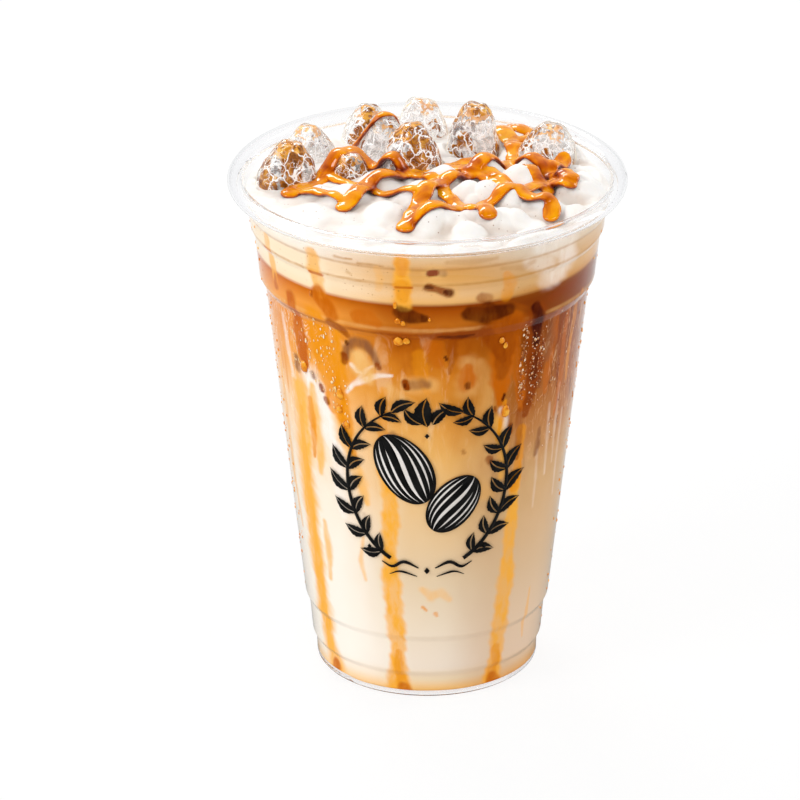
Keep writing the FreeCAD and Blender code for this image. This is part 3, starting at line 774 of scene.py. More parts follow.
def foam_heights(radii):
    """The foam's top on a grid of rings and directions, carried on smoothly under the ice."""
    heights = np.zeros((len(radii), AROUND))
    open_pocket = np.zeros(heights.shape, bool)
    for row, radius in enumerate(radii):
        for column, way in enumerate(WAYS):
            height = height_under(foam_tree, on_wall(way, ABOVE_ALL, min(radius, FOAM_REACH)))
            height = FOAM_EDGE if height is None else height
            heights[row, column] = height
            open_pocket[row, column] = height < FOAM_EDGE - POCKET
    heights[open_pocket] = FOAM_LEVEL
    for _ in range(160):
        heights[open_pocket] = neighbours_mean(heights, 1)[open_pocket]
    return heights


LOBES = 0.125  # rounded lobes of foam to a millimetre
LOBE_RISE = 2.0
LOBES_FROM, LOBES_FULL = -14, 8  # they begin and are full this far to the right of the middle


def froth_relief(x, y):
    """Small rise and fall of the foam's skin, in millimetres."""
    place = Vector((x, y, 0))
    swell = noise.noise(place * 0.16) * 0.35 + noise.noise(place * 0.4 + Vector((9, 4, 2))) * 0.14
    bubbles = noise.noise(place * 1.5) * 0.05
    away = noise.voronoi(place * LOBES + Vector((3.7, 1.2, 0)))[0][0]
    lobe = max(0.0, 1 - (away * 1.55) ** 2) ** 0.7 * LOBE_RISE
    share = min(1.0, max(0.0, (x - LOBES_FROM) / (LOBES_FULL - LOBES_FROM)))
    return swell + bubbles + lobe * share


def foam_finish(shade):
    """White foam on top, with painted shade in its grooves, and the drink's colours along the wall."""
    group = shade.node("Group")
    group.node_tree = brew
    top = shade.attribute("top")
    white = shade.ramp(shade.noise(7, 3, 0.55), [(0.25, "efe8e0"), (0.5, "f6f2ed"), (0.75, "faf8f5")])
    # painted shade: warm grey brown in the foam's grooves, uneven
    uneven = shade.spread(shade.noise(4, 3), 0.2, 0.8, 0.6, 1.0)
    groove_shade = shade.times(shade.attribute("groove_shade"), uneven)
    white = shade.mix(shade.times(groove_shade, 0.6), white, "c9b19c")
    speck = shade.cells(1.5)
    rare = shade.spread(shade.noise(5, 1, shift=50), 0.48, 0.62)
    dots = shade.times(shade.spread(speck, 0.16, 0.08), rare)
    white = shade.mix(shade.times(dots, 0.7), white, "8a5526")
    colour = shade.mix(top, group.outputs[0], white)
    fine = shade.cells(0.55)
    coarse = shade.noise(1.6, 3, 0.6)
    height = shade.plus(shade.times(fine, 0.4), coarse)
    inputs = {"Base_Color": colour, "Roughness": shade.spread(coarse, 0.3, 0.7, 0.5, 0.7)}
    inputs["Normal"] = shade.bump(height, 0.1, 0.5)
    inputs["Subsurface_Weight"] = 0.12
    inputs["Subsurface_Radius"] = (1.0, 0.8, 0.6)
    inputs["Subsurface_Scale"] = 0.0015
    inputs["Specular_IOR_Level"] = 0.35
    return shade.surface(**inputs)


def groove_depth(levels):
    """How far each point of a grid of heights lies under its surroundings, from 0 to 1."""
    deepest = 0.9
    mean = levels
    for _ in range(60):
        mean = neighbours_mean(mean, 3)
    return np.clip((mean - levels) / deepest, 0, 1)


def make_foam(low):
    """The foam: its side along the wall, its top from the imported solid, with a finer skin."""
    points, faces, ways, heights = layer_side(low, np.full(AROUND, FOAM_EDGE))
    crown = len(points)
    points += points[-AROUND:]
    rim = float(inner_radius(FOAM_EDGE)) + INTO_WALL
    radii = rim * (1 - (np.arange(1, FOAM_RINGS) / FOAM_RINGS) ** 1.06)
    tops = foam_heights(radii)
    for row, radius in enumerate(radii):
        settle = min(1.0, (rim - radius) / SETTLE)
        for column, way in enumerate(WAYS):
            x, y, _ = on_wall(way, 0, radius) / MM
            height = tops[row, column] + froth_relief(x, y) * settle
            points.append((x * MM, y * MM, height * MM))
    faces += grid_faces(FOAM_RINGS, AROUND, wrap=True, start=crown)
    middle = len(points)
    points.append((0, 0, float(tops[-1].mean()) * MM))
    faces += fan(middle, middle - AROUND, AROUND)
    close_end(points, faces, 0, low, upward=False)
    piece = new_piece("foam", points, faces, material("milk_foam", foam_finish))
    mark_runs(piece, ways, heights)
    top = np.zeros(len(points))
    top[crown : middle + 1] = 1.0
    set_attribute(piece, "top", top)
    levels = np.array(points)[crown:middle, 2].reshape(FOAM_RINGS, AROUND) / MM
    # how deep each point lies in a groove, for the painted shade there
    groove_shade = np.zeros(len(points))
    groove_shade[crown:middle] = groove_depth(levels).ravel()
    set_attribute(piece, "groove_shade", groove_shade)
    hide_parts("milk_foam")
    return piece


# ---------------------------------------------------------------------------------------------------------
# The ice


def melted_copy(name, source, voxel, smoothing):
    """A fresh, even mesh with the shape of a CAD node."""
    piece = bpy.data.objects.new(name, source.data.copy())
    bpy.context.scene.collection.objects.link(piece)
    remesh(piece, voxel, smoothing)
    return piece


def move_points(piece, change):
    """Moves each vertex to change(point, normal), all in millimetres."""
    mesh = piece.data
    moved = []
    for vertex in mesh.vertices:
        moved.extend(change(vertex.co / MM, vertex.normal) * MM)
    mesh.vertices.foreach_set("co", moved)
    mesh.update()


CROWN_IN = 0.2  # how much narrower a piece of ice gets towards its top


def draw_in(piece):
    """Narrows the part of a piece of ice that stands out of the foam."""
    mesh = piece.data
    foot, top = FOAM_LEVEL, max(vertex.co.z for vertex in mesh.vertices) / MM
    upper = [v.co for v in mesh.vertices if v.co.z / MM > foot]
    middle = sum(upper, Vector()) / len(upper) / MM

    def change(point, _):
        share = min(1.0, max(0.0, (point.z - foot) / (top - foot)))
        keep = 1 - CROWN_IN * share
        x = middle.x + (point.x - middle.x) * keep
        y = middle.y + (point.y - middle.y) * keep
        return Vector((x, y, point.z))

    move_points(piece, change)


def melt(seed):
    """Shallow hollows and soft ridges, always inward, as meltwater leaves them."""
    shift = Vector((seed * 7.3, seed * 3.1, seed * 5.7))

    def change(point, normal):
        hollow = noise.noise(point * 0.16 + shift)
        ridge = 1 - abs(noise.noise(point * 0.3 + shift * 2)) * 2
        depth = 0.55 + 0.75 * hollow + 0.2 * ridge
        return point - normal * max(0.05, depth)

    return change


def shrink(depth, seed):
    """The cracked heart of a piece of ice, under its clear skin."""
    shift = Vector((seed * 2.9, seed * 8.1, seed * 1.7))

    def change(point, normal):
        flake = noise.noise(point * 0.45 + shift)
        return point - normal * (depth + 0.4 * flake)

    return change


def clear_ice(shade):
    """Wet ice, with a painted amber tint where it is seen edge on; the ice itself is clear."""
    dimples = shade.noise(3.4, 3, 0.55)
    rough = shade.spread(shade.noise(2, 2), 0.35, 0.7, 0.0, 0.05)
    facing = shade.node("LayerWeight", {"Blend": 0.5}).outputs["Facing"]
    # painted tint: white facing the view, amber brown edge on
    stops = [(0.0, "ffffff"), (0.5, "fefdfc"), (0.74, "faf2e4"), (0.9, "efc27a"), (1.0, "c8903e")]
    tone = shade.ramp(facing, stops)
    ice = shade.surface(
        Base_Color=tone, Roughness=rough, IOR=1.31, Transmission_Weight=1.0,
        Normal=shade.bump(dimples, 0.35, 0.5),
    )
    return shade.clear_to_lamps(ice)


def cracked_heart(warmth, seed):
    """White crackle with half clear patches, and the brown of the coffee seen through it."""

    def build(shade):
        inputs = {"Vector": shade.place(), "Scale": 0.32, "Detail": 3.0}
        warp = shade.node("TexNoise", inputs).outputs["Color"]
        pushed = shade.node("VectorMath", {0: warp, "Scale": 3.6}, operation="SCALE").outputs[0]
        moved = shade.shifted(pushed, (seed * 5, seed * 3, seed))
        bent = shade.shifted(shade.place((1, 1, 1.3)), moved)
        edge = shade.cell_edges(bent, 0.3)
        fine = shade.cell_edges(bent, 0.85)
        cell = shade.node("TexVoronoi", {"Vector": bent, "Scale": 0.85}).outputs["Color"]
        pick = shade.node("SeparateColor", {0: cell}).outputs[0]
        region = shade.node("TexNoise", {"Vector": bent, "Scale": 0.13, "Detail": 2.0}).outputs[0]
        brown = shade.plus(shade.times(pick, 0.22), shade.times(region, 1.6))
        brown = shade.plus(brown, warmth)
        glow = shade.node("TexNoise", {"Vector": bent, "Scale": 0.7, "Detail": 3.0}).outputs[0]
        tone = shade.ramp(glow, [(0.3, "643402"), (0.5, "9c580a"), (0.64, "c88a30"), (0.78, "ecca8e")])
        clear = shade.ramp(glow, [(0.3, "d2d6da"), (0.42, "f2f3f4"), (0.6, "ffffff"), (0.8, "f8e4cc")])
        stained = shade.spread(brown, 0.84, 0.9)
        colour = shade.mix(stained, clear, tone)
        busy = shade.spread(shade.noise(5, 2, shift=seed * 4), 0.4, 0.6)
        veins = shade.times(shade.spread(fine, 0.045, 0.015), busy)
        colour = shade.mix(veins, colour, "fffdfa")
        cracks = shade.spread(edge, 0.06, 0.02)
        colour = shade.mix(cracks, colour, "ffffff")
        # syrup that clings to the upper edges
        syrup = shade.noise(4.2, 3, 0.55, shift=seed * 9)
        high = shade.spread(shade.attribute("high"), 0.35, 1.0, -0.12, 0.08)
        ridge = shade.math("ABSOLUTE", shade.minus(syrup, 0.5))
        clings = shade.spread(shade.minus(high, ridge), 0.0, 0.05)
        patch = shade.spread(shade.plus(syrup, high), 0.7, 0.73)
        clings = shade.math("MAXIMUM", clings, patch)
        wet = shade.ramp(shade.noise(2.2, 2, shift=seed), [(0.3, "cc7c08"), (0.5, "eca01c"), (0.7, "fec652")])
        colour = shade.mix(shade.times(clings, 0.8), colour, wet)
        cloudy = shade.spread(glow, 0.44, 0.6, 0.25, 0.8)
        solid = shade.math("MAXIMUM", veins, cracks)
        for other in (stained, clings, cloudy):
            solid = shade.math("MAXIMUM", solid, other)
        return shade.fade(solid, shade.surface(Base_Color=colour, Roughness=0.25, Specular_IOR_Level=0.3))

    return build


HEART_DEPTH = {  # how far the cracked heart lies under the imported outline
    "ice_left": 1.2, "ice_left_back": 1.7, "ice_back_left": 1.7, "ice_back": 1.9, "ice_arch": 1.5,
    "ice_centre": 1.1, "ice_right_centre": 1.5, "ice_right": 2.1, "ice_low": 1.2,
}
ICE_WARMTH = {  # how much more or less of the coffee's brown shows through each piece
    "ice_left": 0.02, "ice_left_back": -0.14, "ice_back_left": -0.12, "ice_back": -0.26, "ice_arch": -0.04,
    "ice_centre": 0.08, "ice_right_centre": -0.06, "ice_right": -0.12, "ice_low": 0.1,
}


def make_ice():
    """Each piece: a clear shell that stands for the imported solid, and a cracked heart inside it."""
    skin = material("ice", clear_ice)
    shells = []
    for number, name in enumerate(ICE):
        shell = melted_copy(f"{name}_clear", nodes[name], 0.5, 3)
        draw_in(shell)
        move_points(shell, melt(number + 1))
        dress(shell, skin)
        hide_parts(name)
        shells.append(shell)
        heart = melted_copy(f"{name}_heart", nodes[name], 0.6, 2)
        draw_in(heart)
        move_points(heart, shrink(HEART_DEPTH[name], number + 1))
        dress(heart, material(f"{name}_heart", cracked_heart(ICE_WARMTH[name], number + 1)))
        heights = np.array([v.co.z for v in heart.data.vertices])
        set_attribute(heart, "high", (heights - heights.min()) / np.ptp(heights))
    return shells


# ---------------------------------------------------------------------------------------------------------
# The caramel drizzled over foam and ice

# Each strand: places in plan that it passes, in millimetres, and its half widths along the way.
STRANDS = [
    # laid from the front left up to the back right
    ([(-35, -7), (-31, -2), (-27, 1.5), (-23.5, 6), (-18.5, 9), (-12, 6.6), (-4.6, 2)],
     [2.9, 1.9, 2.0, 1.9, 1.9, 1.8, 1.9]),
    ([(-21.5, -18.5), (-18, -13.5), (-14.5, -6), (-9.5, -2), (-5, 2), (2, 5), (9, 11), (12, 15)],
     [2.6, 1.8, 2.0, 1.9, 2.0, 1.7, 1.8, 1.4]),
    ([(-6, -31), (-3, -22), (0, -12), (5, -6), (12, 1), (18, 9), (21, 14)],
     [2.7, 2.2, 2.0, 2.1, 2.0, 1.8, 1.6]),
    ([(15, -28.5), (13.5, -19), (17, -15.5), (24, -9), (30, -3.5), (33, -6), (36.5, -8.5)],
     [1.9, 1.7, 1.8, 1.6, 1.8, 1.9, 2.0]),
    ([(29, -1), (30, 5), (33, 10), (34, 13)], [1.7, 2.1, 2.0, 1.4]),
    # laid from the back left down to the front right
    ([(-25.5, 6), (-22, 1), (-19, -1.5), (-15.5, -5.5)], [1.2, 1.5, 1.3, 1.2]),
    ([(-31, -5), (-26, -8.5), (-22, -13), (-19, -16)], [1.6, 1.5, 1.3, 1.2]),
    ([(-9, 2.5), (-4, 1.5), (0, -3), (3, -8), (5, -13), (8.5, -19), (13, -21)],
     [1.4, 1.6, 1.7, 1.6, 1.7, 1.5, 1.1]),
    ([(3, 6), (9, 3), (13.5, -1.5), (17.5, -6), (19, -11), (18, -16)], [1.5, 1.8, 1.9, 1.8, 1.6, 1.3]),
    ([(11, 13), (17, 11.5), (21, 7), (24.5, 0), (27.5, -5), (31, -8)], [1.5, 1.7, 1.7, 1.7, 1.6, 1.4]),
    ([(15, 1), (19.5, -6), (22, -13), (26.5, -16), (30, -18), (29.5, -23.5)], [1.2, 1.5, 1.7, 1.7, 1.7, 1.8]),
    ([(21, 14), (25.5, 8), (29, 4), (33, -2), (36, -8)], [1.6, 1.7, 1.8, 1.8, 1.9]),
    ([(-14, -6), (-10, -9.5), (-4, -13), (1, -15)], [1.0, 1.3, 1.3, 1.1]),
    ([(-6, -29), (-1, -26), (4, -23), (9, -20.5)], [1.4, 1.6, 1.6, 1.3]),
    # over the ice, and the pool behind it
    ([(-20, 27), (-17, 23), (-13, 21.5), (-9, 23), (-6, 28)], [0.8, 1.1, 1.2, 1.1, 0.8]),
    ([(15, 39), (19, 33), (21, 26), (21.5, 19), (21, 14)], [2.0, 2.4, 2.4, 2.2, 1.8]),
    ([(19, 38), (25, 35), (31, 31)], [1.6, 1.9, 1.7]),
    ([(21, 28), (26, 31), (30, 31)], [1.7, 1.6, 1.3]),
]
STRAND_STEP = 0.55
STRAND_WIDTH = 1.26  # all strands are this much wider than written
WIDEST = 2.45  # half width that none goes past
STRAND_SIDES = 14  # points round a strand
STRAND_RISE = 0.4  # a strand's half thickness, as a share of its half width
BRIDGE = 3.2  # half the length over which a strand bridges a dip


def smooth_path(points, count_per_span):
    """Points along a smooth line through the given ones."""
    points = [np.array(p, float) for p in points]
    padded = [2 * points[0] - points[1], *points, 2 * points[-1] - points[-2]]
    path = []
    for a, b, c, d in zip(padded, padded[1:], padded[2:], padded[3:]):
        for k in range(count_per_span):
            t = k / count_per_span
            bend = 2 * a - 5 * b + 4 * c - d
            twist = 3 * b - a - 3 * c + d
            path.append(0.5 * (2 * b + (c - a) * t + bend * t * t + twist * t**3))
    path.append(points[-1])
    return np.array(path)


def strand_line(places, widths, tree):
    """Centre points and half widths of a strand laid over what is under it."""
    rows = [(x, y, w) for (x, y), w in zip(places, widths)]
    path = smooth_path(rows, 14)
    gaps = np.hypot(np.diff(path[:, 0]), np.diff(path[:, 1]))
    run = np.concatenate([[0], np.cumsum(gaps)])
    steps = np.arange(0, run[-1], STRAND_STEP)
    x, y, width = (np.interp(steps, run, path[:, k]) for k in range(3))
    lowest = FOAM_EDGE - 0.2
    tops = [height_under(tree, (a * MM, b * MM, 0.2)) or FOAM_EDGE for a, b in zip(x, y)]
    lift = np.maximum(tops, lowest)
    window = max(1, int(BRIDGE / STRAND_STEP))
    padded = np.pad(lift, window, mode="edge")
    mean = np.convolve(padded, np.ones(2 * window + 1) / (2 * window + 1), mode="valid")
    laid = np.maximum(lift, mean)
    for _ in range(3):
        padded = np.pad(laid, 1, mode="edge")
        laid = (padded[:-2] + 2 * laid + padded[2:]) / 4
    swell = np.array([noise.noise(Vector((a * 0.35, b * 0.35, 3.0))) for a, b in zip(x, y)])
    width = np.minimum(width * STRAND_WIDTH, WIDEST) * (1 + 0.2 * swell)
    return x, y, laid + width * STRAND_RISE * 0.45, width


def strand_tube(x, y, z, width):
    """Points and faces of a strand with a flattened round section and rounded ends."""
    line = np.stack([x, y, z], -1)
    ahead = np.gradient(line, axis=0)
    ahead /= np.linalg.norm(ahead, axis=1)[:, None]
    side = np.cross(ahead, (0, 0, 1))
    side /= np.linalg.norm(side, axis=1)[:, None]
    up = np.cross(side, ahead)
    run = np.arange(len(line)) * STRAND_STEP
    to_end = np.minimum(run, run[::-1])
    tip = np.sqrt(np.clip(1 - (1 - np.clip(to_end / (width * 0.9), 0, 1)) ** 2, 0.02, 1))
    turns = np.arange(STRAND_SIDES) * 2 * math.pi / STRAND_SIDES
    points = []
    for k in range(len(line)):
        wide, tall = width[k] * tip[k], width[k] * STRAND_RISE * (0.5 + 0.5 * tip[k]) * tip[k] ** 0.5
        for turn in turns:
            points.append((line[k] + side[k] * wide * math.cos(turn) + up[k] * tall * math.sin(turn)) * MM)
    faces = grid_faces(len(line), STRAND_SIDES, wrap=True)
    faces.append(tuple(range(STRAND_SIDES - 1, -1, -1)))
    last = (len(line) - 1) * STRAND_SIDES
    faces.append(tuple(last + k for k in range(STRAND_SIDES)))
    return points, faces


def caramel_finish(shade):
    """Syrup: golden where it is thin, orange to red brown where it is deep, and darker on its steep sides as
    painted shade.
    """
    depth = shade.attribute("depth")
    streak = shade.noise(5.5, 3, 0.6, distortion=0.8)
    depth = shade.plus(depth, shade.times(shade.minus(streak, 0.5), 5.0))
    # painted shade: steep sides are coloured as if the syrup were deeper there
    depth = shade.plus(depth, shade.times(shade.attribute("steep_shade"), 1.8))
    share = shade.math("DIVIDE", depth, 4.6)
    colour = shade.ramp(share, [
        (0.0, "ffbc18"), (0.2, "faa800"), (0.36, "f09400"), (0.5, "dd7800"), (0.64, "c25a00"),
        (0.8, "963600"), (1.0, "661a00"),
    ])
    ripples = shade.bump(shade.noise(2.2, 2), 0.12, 0.4)
    return shade.coated(colour, Roughness=0.3, Specular_IOR_Level=0.0, Normal=ripples)


def make_drizzle(ground):
    """All strands joined into one skin, with how deep the syrup is at each point."""
    points, faces = [], []
    for places, widths in STRANDS:
        more, quads = strand_tube(*strand_line(places, widths, ground))
        start = len(points)
        points += more
        faces += [tuple(start + k for k in f) for f in quads]
    piece = new_piece("caramel_drizzle", points, faces, material("caramel", caramel_finish))
    remesh(piece, 0.34, 3)
    mesh = piece.data
    tree = search_tree(piece)
    past_skin, deepest, thinnest = 0.05, 6.0, 0.5
    depth = []
    for vertex in mesh.vertices:
        inward = -(vertex.normal + Vector((0, 0, 0.8))).normalized()
        through = tree.ray_cast(vertex.co + inward * past_skin * MM, inward)[3]
        depth.append(thinnest if through is None else min(deepest, through / MM))
    set_attribute(piece, "depth", soften(mesh, depth, 3))
    # how steep each point is, for the painted shade on the strands' sides
    steep_shade = [1 - max(0.0, vertex.normal.z) for vertex in mesh.vertices]
    set_attribute(piece, "steep_shade", soften(mesh, steep_shade, 1))
    return piece


def soften(mesh, values, times):
    """Averages a value over neighbouring vertices."""
    values = np.array(values, float)
    ends = np.zeros(len(mesh.edges) * 2, int)
    mesh.edges.foreach_get("vertices", ends)
    first, second = ends.reshape(-1, 2).T
    count = np.bincount(first, minlength=len(values)) + np.bincount(second, minlength=len(values)) + 1
    for _ in range(times):
        total = values.copy()
        np.add.at(total, first, values[second])
        np.add.at(total, second, values[first])
        values = total / count
    return values


# ---------------------------------------------------------------------------------------------------------
# Drops and beads on the wall

BEAD_ROWS, BEAD_SIDES = 5, 8
BEAD_SINK = 0.05  # how far a drop's foot reaches into the wall


class Beads:
    """Small rounded drops that lie on the wall, joined into one mesh."""

    def __init__(self):
        self.points, self.faces = [], []

    def add(self, way, height, half_wide, half_tall, rise, lean=0.0):
        """A drop at a place on the wall. Its lower half is fuller than its upper half."""
        radius = float(outer_radius(height)) - BEAD_SINK
        start = len(self.points)
        cos_lean, sin_lean = math.cos(lean), math.sin(lean)
        for row in range(BEAD_ROWS + 1):
            out = row / BEAD_ROWS
            ring = math.sqrt(max(0.0, 1 - out * out)) if row < BEAD_ROWS else 0.0
            count = BEAD_SIDES if row < BEAD_ROWS else 1
            for k in range(count):
                turn = 2 * math.pi * k / BEAD_SIDES
                across, up = math.cos(turn) * half_wide * ring, math.sin(turn) * half_tall * ring
                across *= 1 - 0.25 * math.sin(turn)
                across, up = across * cos_lean - up * sin_lean, across * sin_lean + up * cos_lean
                here = way + math.degrees(across / radius)
                lift = float(outer_radius(height + up)) - float(outer_radius(height)) + rise * out
                self.points.append(tuple(on_wall(here, height + up, radius + lift)))
        self.faces += grid_faces(BEAD_ROWS, BEAD_SIDES, wrap=True, start=start)
        tip = start + BEAD_ROWS * BEAD_SIDES
        last = tip - BEAD_SIDES
        self.faces += [(last + k, last + (k + 1) % BEAD_SIDES, tip) for k in range(BEAD_SIDES)]
        self.faces.append(tuple(start + k for k in range(BEAD_SIDES - 1, -1, -1)))

    def scatter(self, count, ways, heights, sizes, taller):
        """Drops by chance over a patch of the wall, small ones far more often than large."""
        for _ in range(count):
            size = sizes[0] + (sizes[1] - sizes[0]) * chance.random() ** 2.5
            way, height = chance.uniform(*ways), chance.uniform(*heights)
            tall = size * chance.uniform(1.0, taller)
            self.add(way, height, size, tall, size * 0.7, chance.uniform(-0.3, 0.3))

    def make(self, name, finish, slot):
        return new_piece(name, self.points, self.faces, finish)


def syrup_bead(shade):
    """An amber drop with a bright glint."""
    colour = shade.ramp(shade.noise(1.6, 2), [(0.3, "cf6c06"), (0.5, "ee9418"), (0.7, "fdb93c")])
    return shade.coated(colour, Roughness=0.2, Specular_IOR_Level=0.3)


def glint(shade):
    """A speck of syrup, painted pale yellow to white as a painted highlight, under a glossy coat."""
    colour = shade.ramp(shade.noise(1.2, 2), [(0.3, "fbc460"), (0.5, "fee2a8"), (0.7, "fff6e0")])
    return shade.coated(colour, Roughness=0.2)


def dark_bead(shade):
    """A drop on the dark coffee, with a painted reflection of the coffee's brown and pale painted highlights.
    """
    # painted reflection of the coffee, up to pale painted highlights
    stops = [(0.34, "8e3a0a"), (0.48, "cc7a30"), (0.56, "f0c08c"), (0.7, "fff2e0")]
    colour = shade.ramp(shade.noise(0.9, 2), stops)
    return shade.coated(colour, Roughness=0.2)


def make_beads():
    """Painted glints in the amber at the left, beads with painted highlights down the dark band at the right,
    and drops along both edges.
    """
    glints = Beads()
    glints.scatter(70, (-49, -35), (84, 104), (0.1, 0.32), 3.0)
    glints.scatter(24, (-60, -50), (86, 106), (0.1, 0.24), 4.0)
    glints.scatter(26, (-38, -30), (74, 90), (0.12, 0.4), 2.4)
    glints.make("painted_syrup_glints", material("painted_syrup_glints", glint), "caramel")
    drops = Beads()
    for way, height, wide, tall in (
        (-10, 101.8, 1.25, 1.3), (-7.2, 102, 0.9, 1.0), (-51.4, 88.6, 1.3, 1.7), (-34, 84.6, 1.0, 1.6),
        (-34.6, 80.2, 0.8, 1.1), (-32, 76.4, 0.9, 1.1), (-10.6, 112, 0.5, 1.0), (-9.8, 107.8, 0.8, 0.8),
        (-8, 107.2, 0.6, 0.7), (-42, 110.8, 0.4, 0.9), (27, 100.4, 0.8, 0.9), (28.6, 98.8, 0.6, 0.9),
        (30.6, 80.4, 1.1, 1.8), (0.8, 108.4, 0.4, 0.5),
    ):
        drops.add(way, height, wide, tall, min(wide, tall) * 0.6)
    drops.make("syrup_drops", material("syrup_drops", syrup_bead), "caramel")
    band = Beads()
    band.scatter(110, (35.5, 38.5), (82, 104), (0.12, 0.36), 1.8)
    band.scatter(130, (40, 47), (80, 101), (0.1, 0.34), 1.8)
    band.scatter(60, (52, 72), (64, 104), (0.1, 0.24), 3.0)
    band.make("coffee_drops_painted_highlights", material("coffee_drops_painted_highlights", dark_bead), "coffee")
    edges = Beads()
    for low, high, count in ((46, 104, 130), (104, 122, 30), (8, 46, 40)):
        edges.scatter(count, (72, 102), (low, high), (0.12, 0.42), 1.5)
        edges.scatter(count, (-102, -72), (low, high), (0.12, 0.42), 1.5)
        edges.scatter(count, (102, 258), (low, high), (0.12, 0.38), 1.5)
    edges.make("edge_drops", material("edge_drops", syrup_bead), "caramel")


# ---------------------------------------------------------------------------------------------------------
# The printed design: two split beans in a wreath of two leafy sprigs, in black with a pale wash

PRINT_MIDDLE = 61.0  # height of its middle on the wall
PRINT_FILM = 0.06  # thickness of the ink
PRINT_STEP = 0.7  # between points along its lines
BLACK_LIFT, WASH_LIFT = 0.09, 0.02  # how far each ink stands off the wall


class Print:
    """Flat shapes in millimetres across and up from the design's middle, laid on the wall's outside."""

    def __init__(self, lift):
        self.points, self.faces, self.lift = [], [], lift

    def sheet(self, left, right, columns=3):
        """Fills the space between two lines with as many points each."""
        start = len(self.points)
        for a, b in zip(left, right):
            for k in range(columns + 1):
                share = k / columns
                across, up = a[0] + (b[0] - a[0]) * share, a[1] + (b[1] - a[1]) * share
                height = PRINT_MIDDLE + up
                radius = float(outer_radius(height)) + self.lift
                way = math.degrees(across / float(outer_radius(PRINT_MIDDLE)))
                self.points.append(tuple(on_wall(way, height, radius)))
        self.faces += grid_faces(len(left), columns + 1, start=start)

    def line(self, path, widths, columns=1):
        """A stroke along a path, as wide as the half widths say."""
        path = np.array(path, float)
        ahead = np.gradient(path, axis=0)
        ahead /= np.linalg.norm(ahead, axis=1)[:, None]
        side = np.stack([-ahead[:, 1], ahead[:, 0]], -1)
        half = np.interp(np.linspace(0, 1, len(path)), np.linspace(0, 1, len(widths)), widths)[:, None]
        self.sheet(path + side * half, path - side * half, columns)

    def make(self, name, finish):
        """One thin solid film of ink from all the shapes so far."""
        piece = new_piece(name, self.points, self.faces, finish)
        film = piece.modifiers.new("film", "SOLIDIFY")
        film.thickness = PRINT_FILM * MM
        film.offset = 1.0
        apply_modifiers(piece)
        return piece


def curved(path):
    """Even points along a smooth line through the given ones."""
    smooth = smooth_path(path, 12)
    run = np.concatenate([[0], np.cumsum(np.hypot(*np.diff(smooth, axis=0).T))])
    count = max(4, int(run[-1] / PRINT_STEP) + 1)
    even = np.linspace(0, run[-1], count)
    return np.stack([np.interp(even, run, smooth[:, 0]), np.interp(even, run, smooth[:, 1])], -1)


def leaf(ink, foot, angle, length, width):
    """A pointed leaf in two halves with a clear midrib and a rippled rim."""
    ahead = np.array([math.cos(angle), math.sin(angle)])
    side = np.array([-ahead[1], ahead[0]])
    rows = max(8, int(length / PRINT_STEP * 1.6))
    shares = np.linspace(0, 1, rows)
    bow = 0.12 * length * np.sin(shares * math.pi)
    spine = np.array(foot) + np.outer(shares * length, ahead) + np.outer(bow, side)
    full = width * np.sin(np.minimum(1, shares * 1.05) * math.pi) ** 0.75 * (1.15 - 0.4 * shares)
    ripple = 1 + 0.08 * np.sin(shares * 34)
    for sign in (1, -1):
        rim = spine + np.outer(full * ripple * sign, side)
        rib = spine + np.outer(np.minimum(0.16, full * 0.3) * sign, side)
        ink.sheet(rib, rim, 4)


def sprig(ink, mirror):
    """A stem that rises in an arc at one side of the design, with leaves in pairs."""
    radius, start, end = 20.5, -62, 66
    turns = np.radians(np.linspace(start, end, 34))
    stem = np.stack([mirror * radius * np.cos(turns), radius * 1.12 * np.sin(turns)], -1)
    ink.line(stem, [0.55, 0.45, 0.2], 1)
    for count in range(8):
        share = 0.07 + 0.125 * count
        k = int(share * (len(stem) - 1))
        ahead = stem[k + 1] - stem[k]
        angle = math.atan2(ahead[1], ahead[0])
        size = 1.0 - 0.42 * abs(share - 0.45)
        leaf(ink, stem[k], angle + mirror * -0.75, 7.4 * size, 1.75 * size)
        leaf(ink, stem[k], angle + mirror * 0.8, 6.4 * size, 1.55 * size)
    leaf(ink, stem[-1], math.atan2(stem[-1][1] - stem[-2][1], stem[-1][0] - stem[-2][0]), 6.6, 1.5)


def oval(middle, half_long, half_wide, tilt, share, side_share):
    """A point inside a tilted oval: share runs along it, side_share across it from -1 to 1."""
    along = -math.cos(share * math.pi)
    across = math.sin(share * math.pi) * side_share
    x, y = across * half_wide, along * half_long
    cos_tilt, sin_tilt = math.cos(tilt), math.sin(tilt)
    return (middle[0] + x * cos_tilt - y * sin_tilt, middle[1] + x * sin_tilt + y * cos_tilt)


